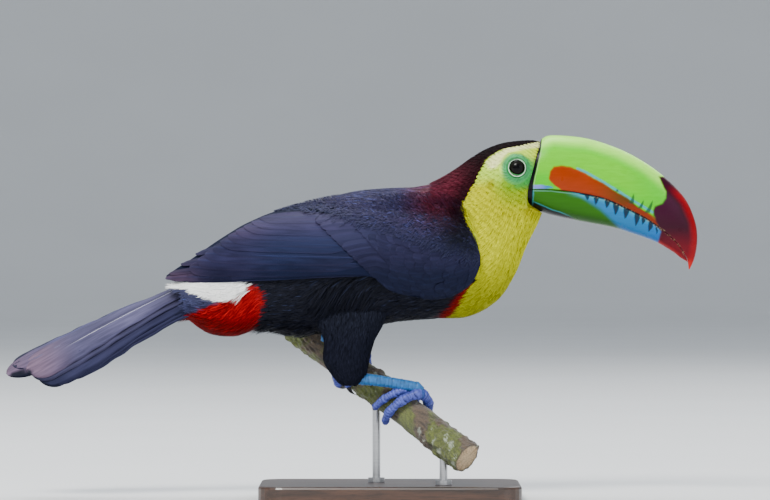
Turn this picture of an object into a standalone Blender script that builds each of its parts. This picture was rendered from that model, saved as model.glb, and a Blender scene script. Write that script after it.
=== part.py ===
"""Keel-billed toucan, life size, gripping a short cut length of branch on a plain display stand.

Frame: +X is the way the bird faces, +Y its left side, +Z up. The origin is the middle of the stand's
underside. Sizes in the tables are millimetres; MM turns them into metres.
"""

import math

import bmesh
import bpy
from mathutils import Matrix, Vector, noise

MM = 0.001
GAP = 0.3  # clearance between neighbouring solids

# ---- Driving dimensions (mm) --------------------------------------------------------------------

# The body from rump to face. Each row is one slanted cross-section: its top point (x, z) on the back,
# its bottom point (x, z) on the belly, its half width, and how far up the widest line lies.
BODY_STATIONS = (
    (-140.6, 143.3, -133.3, 118.8, 13.0, 0.50),  # ends of the tail coverts
    (-126.0, 152.3, -120.0, 110.1, 18.5, 0.50),
    (-111.0, 161.3, -103.0, 108.1, 23.5, 0.50),  # fullest part of the undertail coverts
    (-92.4, 171.8, -84.5, 113.1, 28.5, 0.50),
    (-69.3, 186.0, -64.7, 110.2, 33.0, 0.50),
    (-46.2, 195.6, -44.9, 108.9, 36.5, 0.50),
    (-23.1, 202.2, -22.4, 110.9, 38.5, 0.51),
    (0.0, 204.3, 2.6, 116.3, 38.5, 0.51),  # widest part of the breast
    (18.5, 205.3, 29.0, 118.6, 37.0, 0.50),
    (31.7, 210.5, 51.5, 119.8, 34.5, 0.48),
    (42.9, 217.1, 70.6, 130.3, 30.5, 0.47),
    (52.8, 224.1, 82.5, 147.8, 26.5, 0.48),
    (62.7, 230.0, 89.8, 165.7, 23.6, 0.52),  # nape and throat
    (74.6, 234.3, 96.4, 178.9, 22.0, 0.56),  # behind the eye
    (88.4, 236.0, 99.9, 185.7, 20.8, 0.56),
    (99.7, 236.0, 101.3, 188.3, 19.2, 0.55),  # feather edge round the bill
)
BODY_RING_POINTS = 22
BODY_SQUARENESS = 2.15  # exponent of the cross-section's superellipse
RINGS_PER_STATION = 2
TRUNK_FRONT = 10.15  # station numbers of the thin cuts
NECK_FRONT = 12.0

# The bill: ridge point (x, z), gape-line point (x, z), keel point (x, z) and half width, base to tip.
BILL_STATIONS = (
    (99.8, 236.6, 92.4, 203.4, 90.6, 192.7, 17.4),
    (107.0, 239.2, 105.6, 203.3, 105.6, 187.1, 17.2),
    (129.4, 237.2, 123.4, 201.2, 120.8, 183.8, 16.2),
    (151.8, 230.0, 140.6, 197.5, 137.3, 180.6, 14.8),
    (170.3, 219.9, 155.1, 191.2, 149.2, 178.2, 13.0),
    (184.8, 208.5, 168.3, 184.5, 163.0, 173.8, 11.0),
    (195.4, 196.3, 180.2, 176.2, 174.9, 169.4, 8.7),
    (201.3, 182.4, 188.1, 169.2, 183.5, 164.6, 6.4),
    (202.7, 170.4, 192.7, 163.4, 189.4, 160.6, 4.5),
    (201.0, 158.9, 196.0, 157.6, 194.0, 155.6, 2.7),
    (197.7, 151.0, 197.1, 150.8, 196.8, 150.5, 0.8),
)
BILL_ARC_POINTS = 12
BILL_LOWER_END = 8.6  # station number at which the lower mandible ends inside the hooked tip
BILL_SQUARENESS = 0.91  # exponent that fills out the sides of both mandibles
LOWER_NARROWER = 0.94  # the lower mandible closes just inside the upper one
BILL_UNDERCUT = math.radians(20)  # how far the upper mandible's sides roll in below the widest line

EYE_CENTRE = (83.2, 16.4, 217.5)
EYE_RADIUS = 6.8

# The folded wing: x, height of the section's centre, lateral and vertical semi-axes, heights of the
# wing's upper and lower edges. Tip of the primaries to bend of the wing.
WING_STATIONS = (
    (-147.5, 141.8, 6.5, 6.5, 148.2, 144.8),
    (-140.0, 142.1, 9.5, 11.8, 153.7, 143.1),
    (-131.0, 142.3, 13.5, 17.6, 159.7, 142.7),
    (-118.0, 143.3, 19.5, 26.0, 169.0, 143.0),
    (-105.0, 144.3, 25.0, 32.8, 176.8, 143.5),
    (-92.0, 145.8, 30.0, 37.7, 183.2, 144.3),
    (-66.0, 149.3, 37.0, 43.3, 192.1, 145.5),
    (-40.0, 153.3, 42.0, 45.2, 194.3, 146.7),
    (-13.0, 157.3, 44.5, 45.3, 190.3, 146.3),
    (0.0, 158.8, 44.8, 45.3, 188.9, 138.3),
    (18.0, 160.3, 44.4, 45.4, 187.8, 132.9),
    (34.0, 161.3, 42.6, 46.4, 185.7, 132.5),
    (46.0, 161.3, 40.2, 47.6, 180.8, 136.8),
    (54.5, 161.3, 37.6, 49.0, 172.8, 144.3),
    (59.0, 161.3, 35.9, 50.0, 159.8, 153.8),
)
WING_ARC_POINTS = 9
WING_THICK = 4.6
WING_EDGE_THICK = 1.1
WING_SWELL = 0.6  # exponent with which it thickens away from its edges
WING_THIN_BELOW = 20.0  # sections narrower than this are thinner, as the primaries are

# The tail: a fan of feathers that starts at the coverts and slopes down behind the bird.
TAIL_ROOT = (-137.6, 0.0, 134.6)
TAIL_SLOPE = math.radians(24.6)
TAIL_ROLL = math.radians(36)  # the fan is rolled, its right edge down
TAIL_LENGTH = 128.0
TAIL_HALF_WIDTH = (11.5, 23.5)  # at the coverts, near the end
TAIL_ARCH = (4.0, 7.0)  # height of the fan's arch there
TAIL_THICK = (4.0, 1.6)
TAIL_FEATHERS = 10
TAIL_OUTER_SHORTER = 21.0
TAIL_TIP_ROUND = 5.0
TAIL_OPENING = 0.8  # exponent with which the fan opens from the coverts
TAIL_END_NARROWER = 0.06
TAIL_EDGE_THINNER = 0.45
TAIL_LAYER = 0.35  # each feather lies this much above the next one out
TAIL_GRADUATION = 1.4  # exponent of the shortening from the middle outwards

# The branch: a cut length that passes under the bird from its left, above, to its right, below.
BRANCH_POINT = Vector((11.6, -10.7, 57.0))  # axis point under the right foot
BRANCH_DIRECTION = Vector((1.0, -0.75, -0.75)).normalized()
BRANCH_RADIUS = 11.0
BRANCH_ENDS = (-108.0, 56.0)
LEFT_FOOT_ALONG = -60.0

# Legs: rings of each feathered thigh as (centre x, centre y, z, half length, half thickness).
THIGH_RIGHT = (
    (-27.0, -17.0, 140.3, 21.0, 11.0),
    (-27.5, -20.0, 127.3, 22.5, 15.0),
    (-27.5, -21.0, 115.3, 20.5, 15.2),
    (-27.8, -21.2, 104.3, 17.0, 14.4),
    (-28.6, -21.0, 91.3, 14.9, 13.2),
    (-27.0, -20.5, 81.8, 11.2, 10.4),
    (-26.6, -20.2, 76.5, 7.0, 7.0),
    (-26.4, -20.0, 74.3, 3.0, 3.0),
)
THIGH_LEFT = (
    (-32.0, 15.0, 139.5, 20.0, 11.0),
    (-33.0, 16.0, 127.5, 20.5, 13.5),
    (-34.5, 15.5, 118.5, 17.0, 12.0),
    (-36.0, 14.5, 112.0, 12.5, 9.5),
    (-37.0, 14.0, 108.0, 7.5, 6.5),
    (-37.5, 14.0, 106.5, 3.0, 3.0),
)
SHANK_HEEL_RIGHT = (-19.5, -20.0, 79.4)
SHANK_HEEL_LEFT = (-43.0, 14.5, 106.5)
SHANK_RADII = (4.0, 3.4)  # up and down, sideways
SHANK_TAPER = 0.9
FOOT_LIFT = 15.6  # from the branch's axis to the middle of the foot's pad
PAD_RADIUS = 4.6
ANKLE_LIFT = 3.4  # from there up to the shank's line
ANKLE_LENGTH = 6.0  # of the shank's end that belongs to the foot

# Toes of a right foot: (angle where it ends, drift along the branch at its root and end, radius at
# root and end). Positive angles go round the near, rear side; two toes point back and two forward.
TOES = (
    (118.0, -4.0, -17.0, 2.7, 2.0),  # inner hind toe
    (-112.0, -3.5, -9.0, 2.9, 2.1),  # inner front toe
    (-132.0, 3.0, 8.0, 3.1, 2.2),  # outer front toe
    (146.0, 2.5, -7.5, 3.1, 2.2),  # outer hind toe
)
TOE_START = 5.0  # degrees round the branch from its top
TOE_CLEARANCE = 1.12  # the toe's middle stays this many radii off the bark, for its knuckles
TOE_CLAW_GAP = 0.65
TOE_ROOT_LIFT = 1.0
TOE_RINGS = 10
TOE_SIDES = 7
CLAW_SWEEP = 34.0  # degrees of branch that a claw spans
CLAW_RINGS = 5

# Display stand.
BASE_SIZE = (172.0, 112.0, 10.0)
BASE_CORNER = 16.0
BASE_EDGE = 1.6
ROD_RADIUS = 2.6
ROD_ALONG = (34.0, -30.0)  # where each rod meets the branch
COLLAR_RADIUS = 5.5
COLLAR_HEIGHT = 3.0

# Colours (linear RGB), roughness, metallic.
FINISHES = {
    "black_plumage": ((0.012, 0.012, 0.02), 0.7, 0.0),
    "yellow_plumage": ((0.75, 0.62, 0.03), 0.8, 0.0),
    "bill_green": ((0.15, 0.5, 0.04), 0.35, 0.0),
    "eye_dark": ((0.01, 0.008, 0.006), 0.08, 0.0),
    "leg_blue": ((0.03, 0.14, 0.55), 0.5, 0.0),
    "claw_grey": ((0.03, 0.03, 0.035), 0.4, 0.0),
    "bark": ((0.11, 0.08, 0.05), 0.9, 0.0),
    "stand_wood": ((0.05, 0.03, 0.02), 0.45, 0.0),
    "stand_steel": ((0.55, 0.55, 0.56), 0.3, 1.0),
}


# ---- Small tools --------------------------------------------------------------------------------


def finish(name):
    """The Principled material of that name, made once."""
    found = bpy.data.materials.get(name)
    if found:
        return found
    colour, roughness, metallic = FINISHES[name]
    material = bpy.data.materials.new(name)
    material.use_nodes = True
    shader = material.node_tree.nodes["Principled BSDF"]
    shader.inputs["Base Color"].default_value = (*colour, 1.0)
    shader.inputs["Roughness"].default_value = roughness
    shader.inputs["Metallic"].default_value = metallic
    material.diffuse_color = (*colour, 1.0)
    return material


def smooth_row(rows, at):
    """The table's row at a fractional station number, on a Catmull-Rom curve through its rows."""
    last = len(rows) - 1
    at = min(max(at, 0.0), float(last))
    i = min(int(at), last - 1)
    t = at - i
    before, a, b, after = (rows[min(max(k, 0), last)] for k in (i - 1, i, i + 1, i + 2))
    return [
        0.5 * (2 * q + (r - p) * t + (2 * p - 5 * q + 4 * r - s) * t * t + (3 * q - p - 3 * r + s) * t**3)
        for p, q, r, s in zip(before, a, b, after)
    ]


def mix(a, b, t):
    return a + (b - a) * t


def steps(start, end, count):
    return [mix(start, end, k / (count - 1)) for k in range(count)]


def signed_power(value, power):
    return math.copysign(abs(value) ** power, value)


def extrude_ring(bm, ring):
    """Extrudes a closed ring of vertices and returns the new ring in the same order."""
    edges = [bm.edges.get((a, b)) for a, b in zip(ring, ring[1:] + ring[:1])]
    made = bmesh.ops.extrude_edge_only(bm, edges=edges)["geom"]
    fresh = {v for v in made if isinstance(v, bmesh.types.BMVert)}
    return [next(e.other_vert(v) for e in v.link_edges if e.other_vert(v) in fresh) for v in ring]


def loft(name, rings, material, parent, sharp=40.0):
    """A closed solid through rings of points (mm), with a flat cap at each end."""
    bm = bmesh.new()
    made = bmesh.ops.create_circle(bm, cap_ends=True, segments=len(rings[0]), radius=1.0)
    ring = made["verts"]
    for k, points in enumerate(rings):
        if k:
            ring = extrude_ring(bm, ring)
        for vertex, point in zip(ring, points):
            vertex.co = Vector(point) * MM
    bm.faces.new(ring)
    bmesh.ops.recalc_face_normals(bm, faces=bm.faces)
    return add_object(name, bm, material, parent, sharp)


def add_object(name, bm, material, parent, sharp=40.0):
    """Links the mesh as an object whose origin is the middle of its box."""
    corners = [Vector(f(v.co[axis] for v in bm.verts) for axis in range(3)) for f in (min, max)]
    middle = (corners[0] + corners[1]) / 2
    bmesh.ops.translate(bm, vec=-middle, verts=bm.verts)
    mesh = bpy.data.meshes.new(name)
    bm.to_mesh(mesh)
    bm.free()
    mesh.materials.append(material)
    mesh.shade_smooth()
    mesh.set_sharp_from_angle(angle=math.radians(sharp))
    obj = bpy.data.objects.new(name, mesh)
    obj.location = middle
    obj.parent = parent
    bpy.context.scene.collection.objects.link(obj)
    return obj


def as_cutter(obj):
    obj.hide_render = True
    obj.display_type = "WIRE"
    return obj


def boolean(obj, other, operation="DIFFERENCE"):
    """Adds a Boolean to obj; the other object becomes a helper that isn't part of the model."""
    modifier = obj.modifiers.new(other.name, "BOOLEAN")
    modifier.operation = operation
    modifier.object = as_cutter(other)


# ---- Trunk, neck and head -----------------------------------------------------------------------


def body_ring(at, grow=0.0):
    """One slanted cross-section of the body, grown outwards by some millimetres."""
    top_x, top_z, low_x, low_z, half_width, widest = smooth_row(BODY_STATIONS, at)
    top, low = Vector((top_x, 0, top_z)), Vector((low_x, 0, low_z))
    up = (top - low).normalized()
    height = (top - low).length
    centre = low + up * height * widest
    above, below = height * (1 - widest) + grow, height * widest + grow
    power = 2 / BODY_SQUARENESS
    points = []
    for k in range(BODY_RING_POINTS):
        angle = math.tau * k / BODY_RING_POINTS
        side = signed_power(math.cos(angle), power) * (half_width + grow)
        rise = signed_power(math.sin(angle), power) * (above if math.sin(angle) > 0 else below)
        points.append(centre + up * rise + Vector((0, side, 0)))
    return points


def body_length(name, start, end, material, parent, grow=0.0):
    """The body between two stations, grown all round, its rear end included."""
    count = max(2, round((end - start) * RINGS_PER_STATION) + 1)
    rings = [body_ring(at, grow) for at in steps(start, end, count)]
    backward = (rings[0][0] - rings[1][0]).normalized() * grow
    rings[0] = [point + backward for point in rings[0]]
    return loft(name, rings, material, parent)


def cut_share(at):
    """Half the thin cut, as a share of a station's length along the body's middle."""
    a, b = (smooth_row(BODY_STATIONS, at + d) for d in (-0.05, 0.05))
    travel = min(math.dist(a[0:2], b[0:2]), math.dist(a[2:4], b[2:4])) / 0.1
    return GAP / 2 / travel


def build_eye(side, parent):
    """An eyeball, and the slightly larger ball that clears its socket."""
    centre = Vector((EYE_CENTRE[0], EYE_CENTRE[1] * side, EYE_CENTRE[2]))
    balls = []
    for name, radius in (("eye", EYE_RADIUS), ("socket", EYE_RADIUS + GAP)):
        bm = bmesh.new()
        turn = Matrix.Rotation(math.pi / 2, 4, "X")
        place = Matrix.Translation(centre * MM) @ turn
        bmesh.ops.create_uvsphere(bm, u_segments=14, v_segments=8, radius=radius * MM, matrix=place)
        label = f"{name}_{'left' if side > 0 else 'right'}"
        balls.append(add_object(label, bm, finish("eye_dark"), parent))
    return balls[1]


def build_head(parent):
    head = body_length("head", NECK_FRONT + cut_share(NECK_FRONT), 15.0, finish("yellow_plumage"), parent)
    boolean(head, bill_clearance(parent))
    for side in (1, -1):
        boolean(head, build_eye(side, parent))


def build_neck(parent):
    start = TRUNK_FRONT + cut_share(TRUNK_FRONT)
    end = NECK_FRONT - cut_share(NECK_FRONT)
    body_length("neck", start, end, finish("yellow_plumage"), parent)


def build_trunk(parent):
    trunk = body_length("trunk", 0.0, TRUNK_FRONT - cut_share(TRUNK_FRONT), finish("black_plumage"), parent)
    for side in (1, -1):
        boolean(trunk, wing_clearance(side, parent))


# ---- Bill ---------------------------------------------------------------------------------------

UPPER_RINGS = steps(0.0, len(BILL_STATIONS) - 1, 18)
LOWER_RINGS = steps(0.0, BILL_LOWER_END, 16)


def bill_arc(at, upper, grow=0.0):
    """Points of one mandible's cross-section, from its left gape line round to its right one."""
    ridge_x, ridge_z, gape_x, gape_z, keel_x, keel_z, half_width = smooth_row(BILL_STATIONS, at)
    gape = Vector((gape_x, 0, gape_z))
    far = Vector((ridge_x, 0, ridge_z)) if upper else Vector((keel_x, 0, keel_z))
    away = (far - gape).normalized()
    depth = (far - gape).length + 2 * grow
    half_width = half_width * (1.0 if upper else LOWER_NARROWER) + grow
    roll = BILL_UNDERCUT if upper else 0.0
    points = []
    for angle in steps(-roll, math.pi + roll, BILL_ARC_POINTS):
        rise = (math.sin(angle) + math.sin(roll)) / (1 + math.sin(roll))
        side = signed_power(math.cos(angle), BILL_SQUARENESS) * half_width
        points.append(gape + away * (rise * depth + (GAP / 2 - grow)) + Vector((0, side, 0)))
    return points


def build_bill(parent):
    upper = [bill_arc(at, True) for at in UPPER_RINGS]
    loft("bill_upper", upper, finish("bill_green"), parent)
    lower = [bill_arc(at, False) for at in LOWER_RINGS]
    loft("bill_lower", lower, finish("bill_green"), parent)


def bill_clearance(parent):
    """The space that the head leaves free: all that lies before the bill's base, but for the chin,
    which reaches forward under the lower mandible."""
    wide, high, low = 30.0, 6.0, 6.0
    side = Vector((0, wide, 0))
    rings = []
    for at in LOWER_RINGS[:5]:
        ridge_x, ridge_z, gape_x, gape_z = smooth_row(BILL_STATIONS, at)[:4]
        top, gape = Vector((ridge_x, 0, ridge_z + high)), Vector((gape_x, 0, gape_z - low))
        ring = bill_arc(at, False, grow=1.5 * GAP)[2:-2] + [gape - side, top - side, top + side, gape + side]
        rings.append(ring)
    ridge_x, ridge_z, gape_x, gape_z, keel_x, keel_z = BILL_STATIONS[0][:6]
    lean = (ridge_x - keel_x) / (ridge_z - keel_z)
    behind = min(0.0, gape_x - keel_x - lean * (gape_z - keel_z)) - GAP
    for point in rings[0]:
        point.x = keel_x + lean * (point.z - keel_z) + behind
    return loft("bill_clearance", rings, finish("bill_green"), parent)


# ---- Wings --------------------------------------------------------------------------------------

WING_RINGS = steps(0.0, len(WING_STATIONS) - 1, 22)


def wing_ring(at, side, inner_extra=0.0, outer_extra=0.0, edge_extra=0.0):
    """The folded wing's cross-section at a station: an outer arc and, reversed, an inner one."""
    x, centre_z, lateral, vertical, upper_z, lower_z = smooth_row(WING_STATIONS, at)
    first, last = (math.acos(max(-1.0, min(1.0, (z - centre_z) / vertical))) for z in (upper_z, lower_z))
    first -= edge_extra / vertical
    last += edge_extra / vertical
    outer, inner = [], []
    for k, angle in enumerate(steps(first, last, WING_ARC_POINTS)):
        share = k / (WING_ARC_POINTS - 1)
        swell = math.sin(math.pi * share) ** WING_SWELL
        room = min(1.0, lateral / WING_THIN_BELOW)
        thick = mix(WING_EDGE_THICK, WING_THICK * room, swell) + inner_extra
        for arc, out in ((outer, outer_extra), (inner, -thick)):
            y, z = (lateral + out) * math.sin(angle), (vertical + out) * math.cos(angle)
            arc.append(Vector((x, side * max(y, GAP), centre_z + z)))
    return outer + inner[::-1]


def build_wing(side, parent):
    name = "wing_left" if side > 0 else "wing_right"
    loft(name, [wing_ring(at, side) for at in WING_RINGS], finish("black_plumage"), parent)


BEYOND_WING = 25.0  # the clearance reaches this far past the wing, clear of the whole body


def wing_clearance(side, parent):
    """Everything from just inside the wing outwards, which the trunk leaves free."""
    rings = [wing_ring(at, side, 2.2 * GAP, BEYOND_WING, 3 * GAP) for at in WING_RINGS]
    for ring, shift in ((rings[0], -3 * GAP), (rings[-1], 3 * GAP)):
        for point in ring:
            point.x += shift
    return loft(f"wing_clearance_{side}", rings, finish("black_plumage"), parent)


# ---- Tail ---------------------------------------------------------------------------------------


def tail_axes():
    """Unit vectors along the tail, across it to the bird's left, and out of its upper face."""
    along = Vector((-math.cos(TAIL_SLOPE), 0, -math.sin(TAIL_SLOPE)))
    up = Vector((-math.sin(TAIL_SLOPE), 0, math.cos(TAIL_SLOPE)))
    across = Vector((0, math.cos(TAIL_ROLL), 0)) + up * math.sin(TAIL_ROLL)
    return along, across, across.cross(along).normalized()


def feather_end(share):
    """How much shorter the fan is at a place across it, -1 to 1: graduated, with rounded tips."""
    half = TAIL_FEATHERS / 2
    place = abs(share) * half
    index = min(int(place), half - 1)
    local = (place - index) * 2 - 1
    return TAIL_OUTER_SHORTER * (index / (half - 1)) ** TAIL_GRADUATION + TAIL_TIP_ROUND * local * local


def build_tail(parent):
    along, across, out = tail_axes()
    columns = 3 * TAIL_FEATHERS + 1
    rings = []
    for far in steps(0.0, 1.0, 6):
        opened = math.sin(far * math.pi / 2) ** TAIL_OPENING
        half = mix(*TAIL_HALF_WIDTH, opened) * (1 - TAIL_END_NARROWER * far**6)
        arch, thick = mix(*TAIL_ARCH, opened), mix(*TAIL_THICK, far)
        upper, lower = [], []
        for share in steps(-1.0, 1.0, columns):
            reach = far * (TAIL_LENGTH - feather_end(share))
            layer = TAIL_FEATHERS / 2 - 1 - int(min(abs(share) * TAIL_FEATHERS / 2, TAIL_FEATHERS / 2 - 1))
            bend = TAIL_LAYER * layer * min(1, 3 * far) - arch * share * share
            taper = thick * (1 - TAIL_EDGE_THINNER * share * share)
            base = Vector(TAIL_ROOT) + along * (reach + 0.5) + across * half * share
            upper.append(base + out * (bend + taper / 2))
            lower.append(base + out * (bend - taper / 2))
        rings.append(upper + lower[::-1])
    return loft("tail", rings, finish("black_plumage"), parent, sharp=25.0)


# ---- Branch, legs and feet ----------------------------------------------------------------------


def branch_axes():
    """Unit vectors along the branch, out of its upper side, and out of its near, rear side."""
    along = BRANCH_DIRECTION
    up = (Vector((0, 0, 1)) - along * along.z).normalized()
    return along, up, along.cross(up).normalized()


def on_branch(where, angle, distance):
    """A point round the branch: millimetres along it, degrees from its top, distance from its axis."""
    along, up, near = branch_axes()
    turn = math.radians(angle)
    return BRANCH_POINT + along * where + (up * math.cos(turn) + near * math.sin(turn)) * distance


def branch_rings(grow=0.0, sides=16):
    rings = []
    for where in steps(*BRANCH_ENDS, 12):
        ring = []
        for k in range(sides):
            angle = 360 * k / sides
            bump = noise.noise(on_branch(where, angle, BRANCH_RADIUS) * 0.09)
            ring.append(on_branch(where, angle, BRANCH_RADIUS - 0.7 + 0.7 * bump + grow))
        rings.append(ring)
    return rings


def tube_rings(path, radii, sides):
    """Rings round a path whose planes turn with it; radii is one (out, across) pair per point."""
    rings = []
    across = Vector((0, 1, 0))
    for k, point in enumerate(path):
        forward = (path[min(k + 1, len(path) - 1)] - path[max(k - 1, 0)]).normalized()
        across = (across - forward * across.dot(forward)).normalized()
        out = forward.cross(across)
        ring = []
        for j in range(sides):
            turn = math.tau * j / sides
            ring.append(point + out * radii[k][0] * math.sin(turn) + across * radii[k][1] * math.cos(turn))
        rings.append(ring)
    return rings


def toe_path(toe, foot_along, mirror):
    """Points round the branch from the pad to the toe's end, and its radius at each."""
    end, root_drift, end_drift, root_radius, end_radius = toe
    path, radii = [], []
    for share in steps(0.0, 1.0, TOE_RINGS):
        radius = mix(root_radius, end_radius, share)
        knuckle = 1 + 0.1 * math.cos(share * 3 * math.tau)
        drift = mix(root_drift, end_drift, share) * mirror
        start = math.copysign(TOE_START, end)
        lift = TOE_ROOT_LIFT * math.exp(-((share / 0.12) ** 2))
        distance = BRANCH_RADIUS + GAP + radius * TOE_CLEARANCE + lift
        path.append(on_branch(foot_along + drift, mix(start, end, share), distance))
        radii.append((radius * knuckle, radius * knuckle))
    return path, radii


def build_claw(name, toe, foot_along, mirror, parent):
    """A curved claw that carries on from the toe's end and just clears the bark."""
    end, root_drift, end_drift, _, radius = toe
    path, radii = [], []
    toe_distance = BRANCH_RADIUS + GAP + radius * TOE_CLEARANCE
    joint = math.degrees(TOE_CLAW_GAP / toe_distance) / CLAW_SWEEP
    drift_rate = (end_drift - root_drift) / (abs(end) - TOE_START)
    for share in steps(joint, 1.0 + joint, CLAW_RINGS):
        swept = CLAW_SWEEP * share
        size = max(radius * 0.86 * (1 - share**1.5), 0.3)
        distance = mix(toe_distance, BRANCH_RADIUS + GAP + 0.7, share**1.6)
        where = foot_along + (end_drift + drift_rate * swept) * mirror
        path.append(on_branch(where, end + math.copysign(swept, end), distance))
        radii.append((size, size * 0.8))
    loft(name, tube_rings(path, radii, 6), finish("claw_grey"), parent)


def build_foot(side_name, foot_along, mirror, heel, parent):
    """Pad and four toes in one solid, four claws, and the bare shank up to the heel."""
    pad_middle = on_branch(foot_along, 0.0, FOOT_LIFT)
    bm = bmesh.new()
    bmesh.ops.create_uvsphere(bm, u_segments=10, v_segments=7, radius=PAD_RADIUS * MM)
    squash = Matrix.Diagonal((1.25, 1.05, 0.85, 1.0))
    turn = branch_axes()[1].to_track_quat("Z", "X").to_matrix().to_4x4()
    bmesh.ops.transform(bm, matrix=Matrix.Translation(pad_middle * MM) @ turn @ squash, verts=bm.verts)
    foot = add_object(f"foot_{side_name}", bm, finish("leg_blue"), parent)
    for number, toe in enumerate(TOES, start=1):
        path, radii = toe_path(toe, foot_along, mirror)
        boolean(foot, loft(f"toe_{side_name}_{number}", tube_rings(path, radii, TOE_SIDES),
                           finish("leg_blue"), parent), "UNION")
        build_claw(f"claw_{side_name}_{number}", toe, foot_along, mirror, parent)

    heel = Vector(heel)
    ankle = on_branch(foot_along, 0.0, FOOT_LIFT + ANKLE_LIFT)
    way = (ankle - heel).normalized()
    shank_end = ankle - way * ANKLE_LENGTH
    shares = steps(0.0, 1.0, 5)
    path = [heel.lerp(shank_end, share) for share in shares]
    radii = [tuple(radius * mix(1.0, SHANK_TAPER, share) for radius in SHANK_RADII) for share in shares]
    shank = loft(f"shank_{side_name}", tube_rings(path, radii, 12), finish("leg_blue"), parent)
    stub = [shank_end + way * GAP, ankle - way * 2.5, pad_middle + way * 1.5]
    stub_rings = tube_rings(stub, [radii[-1], radii[-1], (3.0, 3.0)], 12)
    boolean(foot, loft(f"ankle_{side_name}", stub_rings, finish("leg_blue"), parent), "UNION")
    boolean(foot, grown_copy(shank, parent))


def grown_copy(obj, parent):
    """The object's shape, larger all round by the clearance between neighbouring solids."""
    bm = bmesh.new()
    bm.from_mesh(obj.data)
    bmesh.ops.translate(bm, vec=obj.location, verts=bm.verts)
    bm.normal_update()
    for vertex in bm.verts:
        vertex.co += vertex.normal * vertex.calc_shell_factor() * GAP * MM
    return add_object(f"{obj.name}_clearance", bm, obj.data.materials[0], parent)


def build_thigh(side_name, table, trunk_space, parent):
    """The feathered thigh, clear of the body above it and of the shank that leaves it."""
    sides = 16
    rings = []
    for at in steps(0.0, len(table) - 1, 2 * len(table) - 1):
        x, y, z, long, thick = smooth_row(table, at)
        ring = []
        for k in range(sides):
            turn = math.tau * k / sides
            ring.append(Vector((x + long * math.cos(turn), y + thick * math.sin(turn), z)))
        rings.append(ring)
    thigh = loft(f"thigh_{side_name}", rings, finish("black_plumage"), parent)
    shank = bpy.data.objects[f"shank_{side_name}"]
    for leg_part in (thigh, shank):
        boolean(leg_part, trunk_space)
    boolean(thigh, grown_copy(shank, parent))
    return thigh


# ---- Stand --------------------------------------------------------------------------------------


def build_base(parent):
    length, width, height = (size * MM for size in BASE_SIZE)
    bm = bmesh.new()
    place = Matrix.Translation((0, 0, height / 2)) @ Matrix.Diagonal((length, width, height, 1.0))
    bmesh.ops.create_cube(bm, size=1.0, matrix=place)
    upright = [e for e in bm.edges if abs(e.verts[0].co.z - e.verts[1].co.z) > height / 2]
    bmesh.ops.bevel(bm, geom=upright, offset=BASE_CORNER * MM, segments=6, profile=0.5, affect="EDGES")
    rim = [e for e in bm.edges if min(v.co.z for v in e.verts) > height * 0.99 and len(e.link_faces) == 2
           and any(abs(f.normal.z) < 0.5 for f in e.link_faces)]
    bmesh.ops.bevel(bm, geom=rim, offset=BASE_EDGE * MM, segments=2, profile=0.5, affect="EDGES")
    return add_object("stand_base", bm, finish("stand_wood"), parent)


def cylinder(name, radius, low, high, x, y, finish_name, parent, sides=16):
    bm = bmesh.new()
    place = Matrix.Translation(Vector((x, y, (low + high) / 2)) * MM)
    bmesh.ops.create_cone(bm, cap_ends=True, segments=sides, radius1=radius * MM, radius2=radius * MM,
                          depth=(high - low) * MM, matrix=place)
    return add_object(name, bm, finish(finish_name), parent)


def build_rods(branch_space, parent):
    top_of_base = BASE_SIZE[2]
    for number, where in enumerate(ROD_ALONG, start=1):
        axis = BRANCH_POINT + BRANCH_DIRECTION * where
        rod = cylinder(f"stand_rod_{number}", ROD_RADIUS, top_of_base + GAP, axis.z - 2.0, axis.x, axis.y,
                       "stand_steel", parent)
        boolean(rod, branch_space)
        collar = cylinder(f"stand_collar_{number}", COLLAR_RADIUS, top_of_base + GAP,
                          top_of_base + GAP + COLLAR_HEIGHT, axis.x, axis.y, "stand_steel", parent)
        bore = cylinder(f"collar_bore_{number}", ROD_RADIUS + GAP, top_of_base - 2.0,
                        top_of_base + COLLAR_HEIGHT + 4.0, axis.x, axis.y, "stand_steel", parent)
        boolean(collar, bore)


def main():
    for obj in list(bpy.data.objects):
        bpy.data.objects.remove(obj)
    bird = bpy.data.objects.new("toucan", None)
    stand = bpy.data.objects.new("stand", None)
    for empty in (bird, stand):
        bpy.context.scene.collection.objects.link(empty)

    build_trunk(bird)
    build_neck(bird)
    build_head(bird)
    build_bill(bird)
    for side in (1, -1):
        build_wing(side, bird)
    tail = build_tail(bird)

    build_foot("right", 0.0, 1, SHANK_HEEL_RIGHT, bird)
    build_foot("left", LEFT_FOOT_ALONG, -1, SHANK_HEEL_LEFT, bird)
    trunk_space = body_length("trunk_clearance", 0.0, 10.0, finish("black_plumage"), bird, GAP)
    boolean(tail, trunk_space)
    build_thigh("right", THIGH_RIGHT, trunk_space, bird)
    left_thigh = build_thigh("left", THIGH_LEFT, trunk_space, bird)
    branch_space = loft("branch_clearance", branch_rings(GAP), finish("bark"), stand)
    boolean(left_thigh, branch_space)

    loft("perch_branch", branch_rings(), finish("bark"), stand)
    build_base(stand)
    build_rods(branch_space, stand)


main()
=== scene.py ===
"""Keel-billed toucan: a life-size still model on a cut branch and a plain display stand.

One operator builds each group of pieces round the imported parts, in metres, +X towards the bill,
+Y the bird's left, +Z up. Tables of sizes are in millimetres; MM turns them into metres.
"""

import math

import bmesh
import bpy
import numpy as np
from mathutils import Matrix, Vector, noise


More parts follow.
